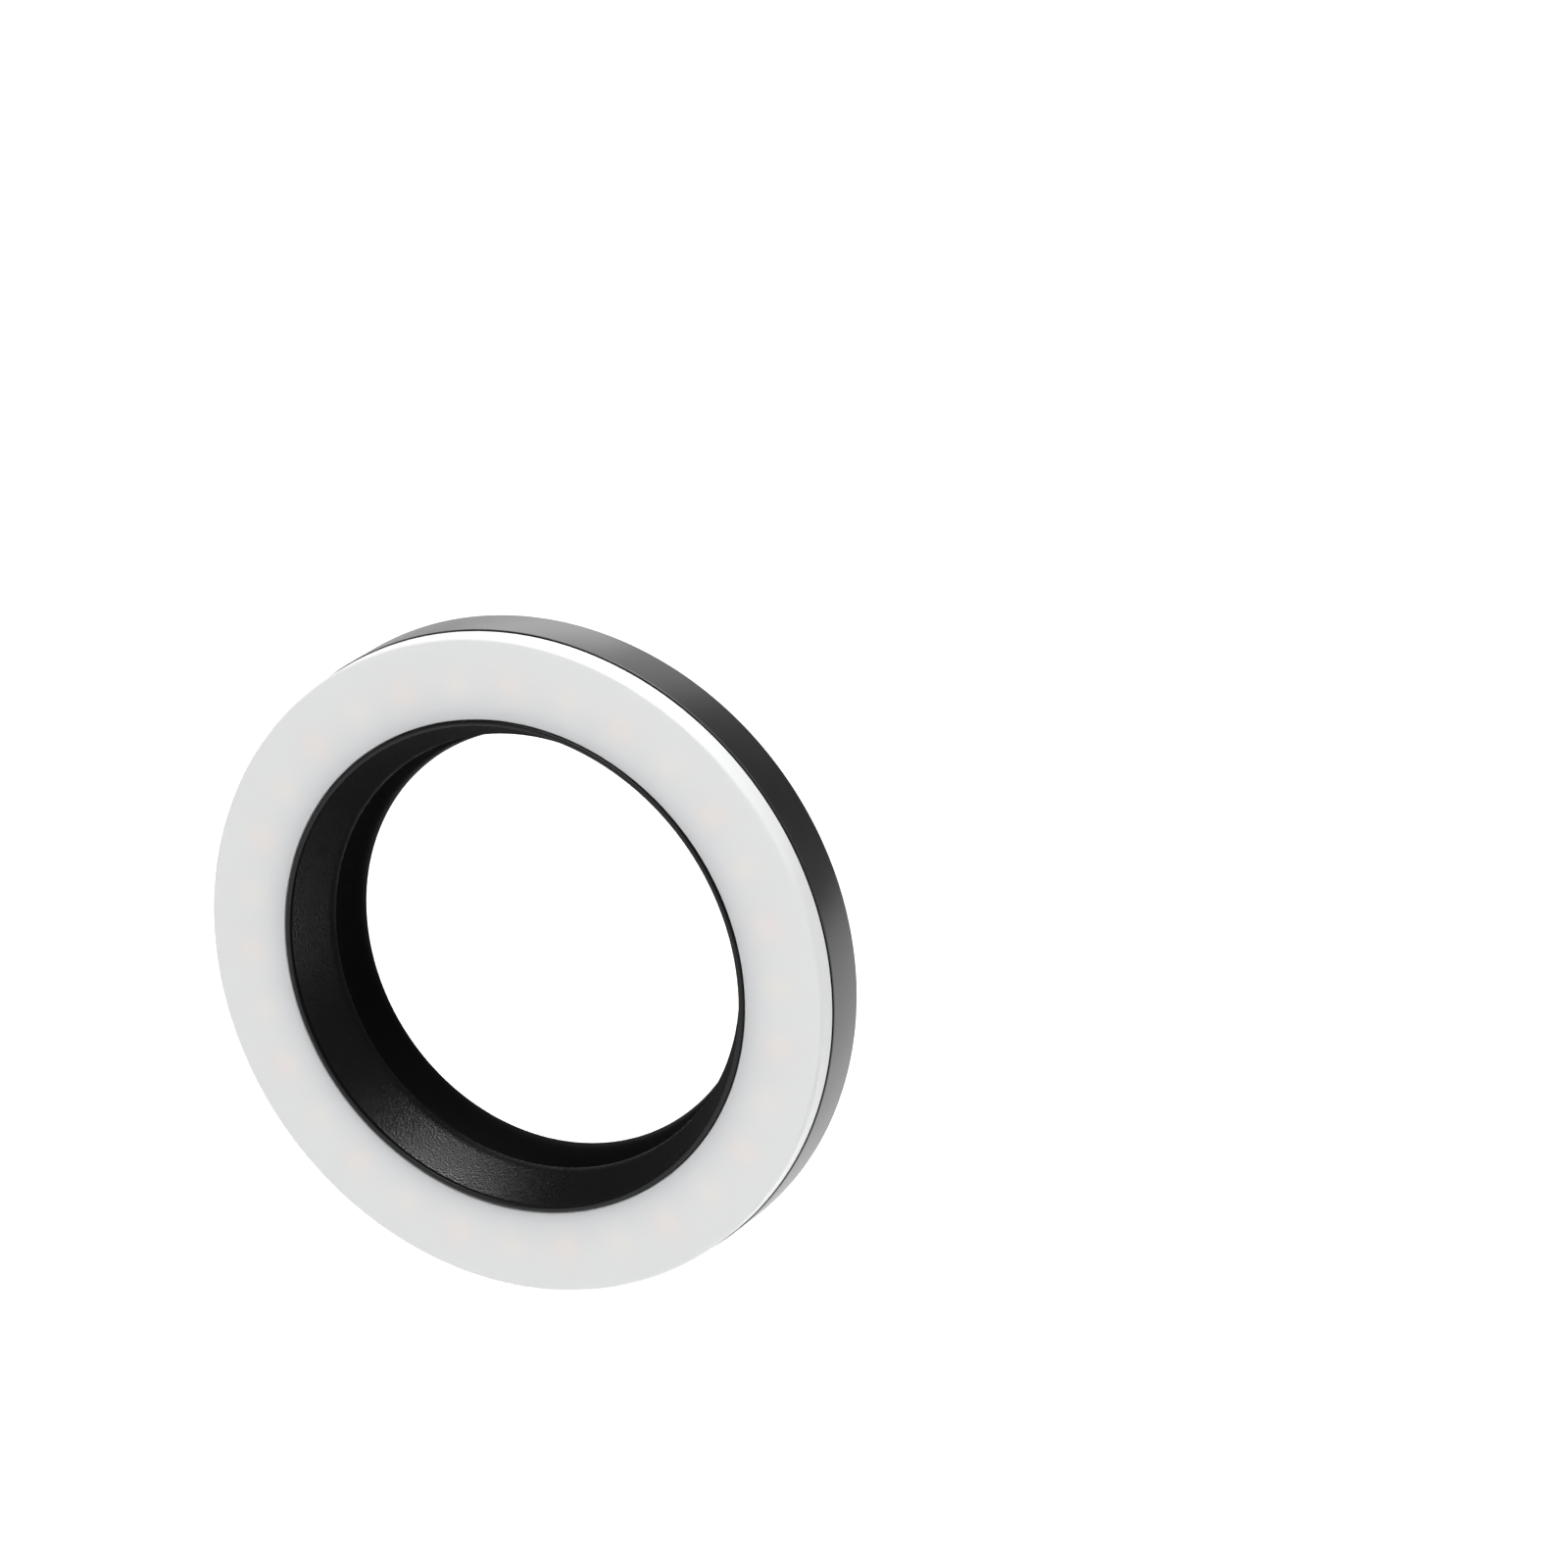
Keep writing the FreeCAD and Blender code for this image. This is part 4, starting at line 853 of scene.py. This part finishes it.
def contact_strips():
    """Flat contacts side by side on both faces of the tongue, as rows of low blocks.

    Each is the eight corners of a block, shifted by its place in the row and mirrored for the other face."""
    corner = np.array([(x, y, z) for z in (0, 1) for x, y in ((-1, 0), (1, 0), (1, 1), (-1, 1))], float)
    place = (np.arange(contact_count) - (contact_count - 1) / 2) * contact_pitch
    side = np.array([1.0, -1.0])
    sideways = place[None, :, None] + corner[:, 0] * contact_half_width
    out = tongue_tip - contact_inset - (1 - corner[:, 1]) * contact_length
    up = side[:, None, None] * (tongue_thickness / 2 - contact_sunk + corner[:, 2] * contact_height)
    points = beside(out, sideways + 0 * up, control_middle + up, usb_angle).reshape(-1, 3)
    block = np.array([(0, 3, 2, 1), (4, 5, 6, 7), (0, 1, 5, 4), (1, 2, 6, 5), (2, 3, 7, 6), (3, 0, 4, 7)])
    first = (np.arange(contact_count) * 8)[:, None, None]
    upper = first + block[:, ::-1]
    lower = first + contact_count * 8 + block
    return points, np.concatenate([upper, lower]).reshape(-1, 4)


usb_steel = plated("usb_steel", (0.52, 0.51, 0.50), (0.62, 0.61, 0.60), 0.16, 0.28, 0.5 * mm)
inlet = add_object("usb_shell", *usb_shell(), usb_steel)
dress(inlet, "lamp", "usb_steel", "usb_socket")
contact_gilt = grained("contact_gilt", (0.80, 0.55, 0.22), (0.90, 0.64, 0.28), 0.2, 0.3, 0.2 * mm, 0.001 * mm,
                       Metallic=1.0)
contacts = add_object("usb_contacts", *contact_strips(), contact_gilt)
dress(contacts, "lamp", "usb_steel")
paint(grained("tongue_black", (0.012, 0.012, 0.012), (0.022, 0.022, 0.022), 0.42, 0.52, 0.2 * mm, 0.003 * mm),
      "usb_tongue")

# Display: a frosted clear window, moulded in one with the light pipe that leads to it from four small lamps on
# the control board
paint(grained("light_pipe", (0.60, 0.62, 0.63), (0.74, 0.76, 0.77), 0.30, 0.45, 0.2 * mm, 0.004 * mm, IOR=1.5),
      "status_light_pipe")
paint(grained("status_lamp", (0.70, 0.70, 0.52), (0.82, 0.82, 0.68), 0.25, 0.35, 0.3 * mm, 0.002 * mm),
      "status_leds")

# Lamp board: an aluminium-core ring with a white mask on the housing's pillars. Thirty lamps in white
# packages, by turns cool and warm, each show a round of coloured phosphor, and a white trough round them
# mixes their light.
led_circle = 40.3 * mm
led_pairs = 15
cool_phase = math.radians(6)
warm_phase = math.radians(18)


def spots_group():
    """Soft spots over the lamps, evenly spaced round the axis.

    The angle round the axis, less the phase, is folded into one pitch. Its arc and the distance from the
    lamps' circle, each over the spot's size, give the spot as exp(-(arc^2 + radial^2))."""
    tree, inside, outside = group("lamp_spots", {"Phase": 0.0, "Size": 2.5 * mm}, ("Spot",))
    pitch = 2 * math.pi / led_pairs
    place, across = from_axis(tree)
    angle = calculate(tree, "ARCTAN2", place["Z"], place["X"])
    shifted = calculate(tree, "SUBTRACT", angle, inside.outputs["Phase"])
    folded = calculate(tree, "WRAP", shifted, pitch / 2, -pitch / 2)
    arc = calculate(tree, "MULTIPLY", folded, led_circle)
    radial = calculate(tree, "SUBTRACT", across, led_circle)
    squares = calculate(tree, "ADD", calculate(tree, "POWER", arc, 2.0), calculate(tree, "POWER", radial, 2.0))
    share = calculate(tree, "DIVIDE", squares, calculate(tree, "POWER", inside.outputs["Size"], 2.0))
    spot = calculate(tree, "EXPONENT", calculate(tree, "MULTIPLY", share, -1.0))
    tree.links.new(spot, outside.inputs["Spot"])
    return tree


lamp_spots = spots_group()


def lamp_package(name, phosphor, phase):
    """White lamp package with a round of phosphor: the spot over each lamp, cut off sharply."""
    material, tree, shader = new_material(name, IOR=1.5)
    spot = shared(tree, lamp_spots, Phase=phase, Size=1.3 * mm)["Spot"]
    steep = calculate(tree, "MULTIPLY", calculate(tree, "SUBTRACT", spot, 0.42), 12.0)
    disc = clipped(tree, steep)
    tree.links.new(mixed(tree, disc, (0.82, 0.82, 0.80), phosphor), shader.inputs["Base Color"])
    tree.links.new(between(tree, disc, 0.45, 0.2), shader.inputs["Roughness"])
    bump(tree, shader, disc, -0.05 * mm)
    return material


paint(lamp_package("lamp_cool", (0.88, 0.80, 0.28), cool_phase), "cool_leds")
paint(lamp_package("lamp_warm", (0.92, 0.48, 0.14), warm_phase), "warm_leds")
paint(board("lamp_board_white", (0.78, 0.78, 0.76), (0.85, 0.85, 0.83), (0.72, 0.72, 0.70), 1.4 * mm, 0.6, 0.5),
      "led_board")
paint(grained("well_white", (0.80, 0.80, 0.79), (0.88, 0.88, 0.87), 0.45, 0.6, 0.3 * mm, 0.004 * mm),
      "light_well")

# Bezel: the black moulded ring that clamps the diffuser's inner edge. Its smoother, rounded lip stands a little
# proud, and its funnel, with a fine spark-eroded grain, leads down to the adapter's bore.
bezel_low, bezel_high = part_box("inner_bezel")
bezel_back = -bezel_high[1]
lip_front = -bezel_low[1]
diffuser_back = lip_front - 1.8 * mm
lip_inner_radius = 34.07 * mm
lip_outer_radius = 34.85 * mm
ledge_radius = 35.4 * mm
bezel_flange_radius = 36.6 * mm
bezel_flange_front = bezel_back + 1.2 * mm
bezel_wall_radius = 32.6 * mm
ledge_depth = 1.2 * mm
funnel_land = 0.95 * mm
lip_depth = 0.7 * mm
post_radius = 1.6 * mm
post_root = bezel_back + 0.6 * mm
post_front = bezel_back + 1.85 * mm
post_hole_front = bezel_back + 1.65 * mm

bezel_black = grained("bezel_grain", (0.0008, 0.0008, 0.0008), (0.0028, 0.0027, 0.0026), 0.25, 0.33,
                      0.26 * mm, 0.03 * mm, IOR=1.62)
bezel = add_object("bezel", *turned(section(
    (bore_front_radius, bezel_back, 0.08 * mm),
    (bore_front_radius, bezel_back + funnel_land, 3.0 * mm),
    (lip_inner_radius, lip_front - lip_depth, 0.2 * mm),
    (lip_inner_radius, lip_front, 0.3 * mm),
    (lip_outer_radius, lip_front, 0.3 * mm),
    (lip_outer_radius, diffuser_back),
    (ledge_radius, diffuser_back),
    (ledge_radius, diffuser_back - ledge_depth),
    (bezel_wall_radius, bezel_flange_front),
    (bezel_flange_radius, bezel_flange_front),
    (bezel_flange_radius, bezel_back),
)), bezel_black)
combine(bezel, rods(magnet_circle, sixths, (post_radius, post_root), (post_radius, post_front)),
        "UNION", bezel_black)
combine(bezel, rods(magnet_circle, sixths, (tapped, bezel_back - mm), (tapped, post_hole_front)),
        "DIFFERENCE", bezel_black)
lip_black = grained("lip_black", (0.0008, 0.0008, 0.0008), (0.0028, 0.0027, 0.0026), 0.36, 0.46,
                    0.26 * mm, 0.006 * mm, IOR=1.36)
bezel.data.materials.append(lip_black)
on_lip = -face_middles(bezel)[:, 1] > lip_front - lip_depth
lip_slot = len(bezel.data.materials) - 1
bezel.data.polygons.foreach_set("material_index", on_lip.astype(np.int32) * lip_slot)
dress(bezel, "lamp", "bezel_plastic", "inner_bezel")

# Diffuser: a ring moulded from opal plastic, satin outside, with a rounded outer edge and a skirt that drops
# into the band. The lamps under it show through as faint warm and cool spots. Towards its inner edge, where the
# black bezel lies behind it, shade is painted into its colour: a grey that stands in for the light the
# translucent plastic loses into the bezel.
diffuser_low, diffuser_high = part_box("diffuser")
diffuser_radius = diffuser_high[0]
diffuser_front = -diffuser_low[1]
diffuser_inner_radius = 34.95 * mm
diffuser_round = 0.5 * mm
diffuser_crown = 0.2 * mm
shoulder = rim_front + 0.35 * mm
skirt_radius = 45.1 * mm
skirt_inner_radius = 44.3 * mm
skirt_back = -diffuser_high[1]
# Painted shade on the diffuser's front: its colour is greyest inside this radius and turns white over this reach
# outwards
painted_shade_start = 35.6 * mm
painted_shade_reach = 2.0 * mm
spot_shift = math.radians(0.5)


def opal():
    """Opal plastic: white, with shade painted in towards the inner edge, greyer there by exp(-(radius - start) /
    reach).
    """
    material, tree, shader = new_material("opal_plastic", IOR=1.5, Coat_IOR=1.5, Coat_Roughness=0.12)
    shader.inputs["Coat Weight"].default_value = 0.35
    # Painted shade: grey mixed into the white towards the inner edge, for the light the opal loses into the
    # black bezel behind it
    past_start = calculate(tree, "SUBTRACT", from_axis(tree)[1], painted_shade_start)
    power = calculate(tree, "MINIMUM", calculate(tree, "DIVIDE", past_start, -painted_shade_reach), 0.1)
    painted_shade_share = calculate(tree, "MULTIPLY", calculate(tree, "EXPONENT", power), 0.9)
    white = mixed(tree, painted_shade_share, (0.80, 0.805, 0.81), (0.59, 0.60, 0.615))
    warm = shared(tree, lamp_spots, Phase=warm_phase - spot_shift, Size=2.3 * mm)["Spot"]
    cool = shared(tree, lamp_spots, Phase=cool_phase - spot_shift, Size=2.1 * mm)["Spot"]
    spotted = mixed(tree, calculate(tree, "MULTIPLY", warm, 0.5), white, (0.883, 0.797, 0.74))
    spotted = mixed(tree, calculate(tree, "MULTIPLY", cool, 0.5), spotted, (0.862, 0.83, 0.77))
    tree.links.new(spotted, shader.inputs["Base Color"])
    grain = shared(tree, surface_grain, Grain_Size=0.08 * mm, Cloud_Size=9 * mm)
    tree.links.new(between(tree, grain["Cloud"], 0.34, 0.42), shader.inputs["Roughness"])
    bump(tree, shader, grain["Grain"], 0.0008 * mm)
    return material


def diffuser_section():
    """The diffuser's section, with its front crowned.

    The front falls back by crown times the square of the share of the way from the middle of its width to its
    outer edge."""
    points = section(
        (diffuser_inner_radius, diffuser_back),
        (diffuser_inner_radius, diffuser_front, 0.25 * mm),
        *[(radius, diffuser_front) for radius in np.linspace(36, 45.5, 20) * mm],
        (diffuser_radius, diffuser_front, diffuser_round),
        (diffuser_radius, shoulder, 0.08 * mm),
        (skirt_radius, shoulder),
        (skirt_radius, skirt_back),
        (skirt_inner_radius, skirt_back),
        (skirt_inner_radius, diffuser_back),
    )
    middle = (diffuser_inner_radius + diffuser_radius) / 2
    share = np.maximum((points[:, 0] - middle) / (diffuser_radius - middle), 0)
    on_front = points[:, 1] > max(shoulder + 0.5 * mm, diffuser_back)
    points[:, 1] -= diffuser_crown * share ** 2 * on_front
    return points


diffuser = add_object("diffuser_ring", *turned(diffuser_section()), opal())
dress(diffuser, "lamp", "opal_plastic", "diffuser")

# Gasket: black closed-cell foam between the band's rim and the diffuser's shoulder. It is squeezed out to just
# short of the band's edge, where it shows as a dark line.
gasket_radius = band_radius - edge_break - 0.02 * mm
gasket_bulge = 0.12 * mm
gasket_foam = grained("gasket_foam", (0.003, 0.003, 0.003), (0.01, 0.01, 0.01), 0.85, 0.95, 0.2 * mm, 0.02 * mm,
                      Specular_IOR_Level=0.08)
gasket = add_object("gasket_ring", *turned(section(
    (band_inner_radius, rim_front),
    (gasket_radius, rim_front, gasket_bulge),
    (gasket_radius, shoulder, gasket_bulge),
    (band_inner_radius, shoulder),
)), gasket_foam)
dress(gasket, "lamp", "gasket_foam", "diffuser_gasket")

# Screws: small blackened steel screws with a hexagon recess and a rolled thread. Six hold the lamp board on
# its pillars, three the control board, and six come from behind through the hub into the bezel.
screw_head = 0.8 * mm
head_profile = ((0.75, 1.0), (1.0, 0.95), (1.18, 0.82), (1.28, 0.62), (1.3, 0.45), (1.3, 0.04), (1.26, 0.0))
screw_pitch = 0.35 * mm
screw_groove = 0.13 * mm
hexagon_reach = 0.62 * mm
pillar_shank = 3.8 * mm
boss_shank = 1.8 * mm
clamp_shank = bezel_back - seat + 0.65 * mm


def screw(circle, angle, under_head, facing, shank, columns=36):
    """A screw as rings of points from its recess, over its crowned head and down its thread to the point.

    The recess's radius is the hexagon's reach times cos 30 / cos of the angle from the nearest flat. The head's
    profile gives radii in millimetres and shares of its height. In the thread the radius is less by a triangle
    wave of (depth + pitch times the turn) / pitch."""
    turn = np.linspace(0, 2 * math.pi, columns, endpoint=False)
    from_flat = (turn + math.pi / 6) % (math.pi / 3) - math.pi / 6
    hexagon = hexagon_reach * math.cos(math.pi / 6) / np.cos(from_flat)
    rings = [(hexagon, np.full(columns, screw_head * 0.3)), (hexagon, np.full(columns, screw_head * 0.96))]
    for radius, level in head_profile:
        rings.append((np.full(columns, radius * mm), np.full(columns, screw_head * level)))
    for level in np.linspace(0, shank, int(shank / screw_pitch * 8)):
        wave = np.abs(2 * ((level / screw_pitch + turn / (2 * math.pi)) % 1) - 1)
        fade = min(1.0, level / (0.3 * mm), (shank - level) / (0.2 * mm) + 0.35)
        rings.append((screw_radius - screw_groove * wave * fade, np.full(columns, -level)))
    rings.append((np.full(columns, screw_radius * 0.55), np.full(columns, -shank)))
    return lofted([beside(circle + radius * np.cos(turn), radius * np.sin(turn) * facing,
                          under_head + facing * level, angle) for radius, level in rings])


screw_black = grained("screw_black", (0.10, 0.10, 0.105), (0.18, 0.18, 0.185), 0.28, 0.42, 0.2 * mm, 0.004 * mm,
                      Metallic=1.0)
for name, node, angles, circle, under_head, facing, shank in (
        ("lamp_board_screws", "board_screws", sixths, pillar_circle,
         -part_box("led_board")[0][1], 1, pillar_shank),
        ("control_screws", "control_board_screws", bosses, boss_circle,
         -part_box("control_board")[0][1], 1, boss_shank),
        ("bezel_clamp_screws", "bezel_screws", sixths, magnet_circle, head_seat, -1, clamp_shank)):
    like_screws = [screw(circle, angle, under_head, facing, shank) for angle in angles]
    dress(add_object(name, *joined(like_screws), screw_black), "lamp", "screw_steel", node)
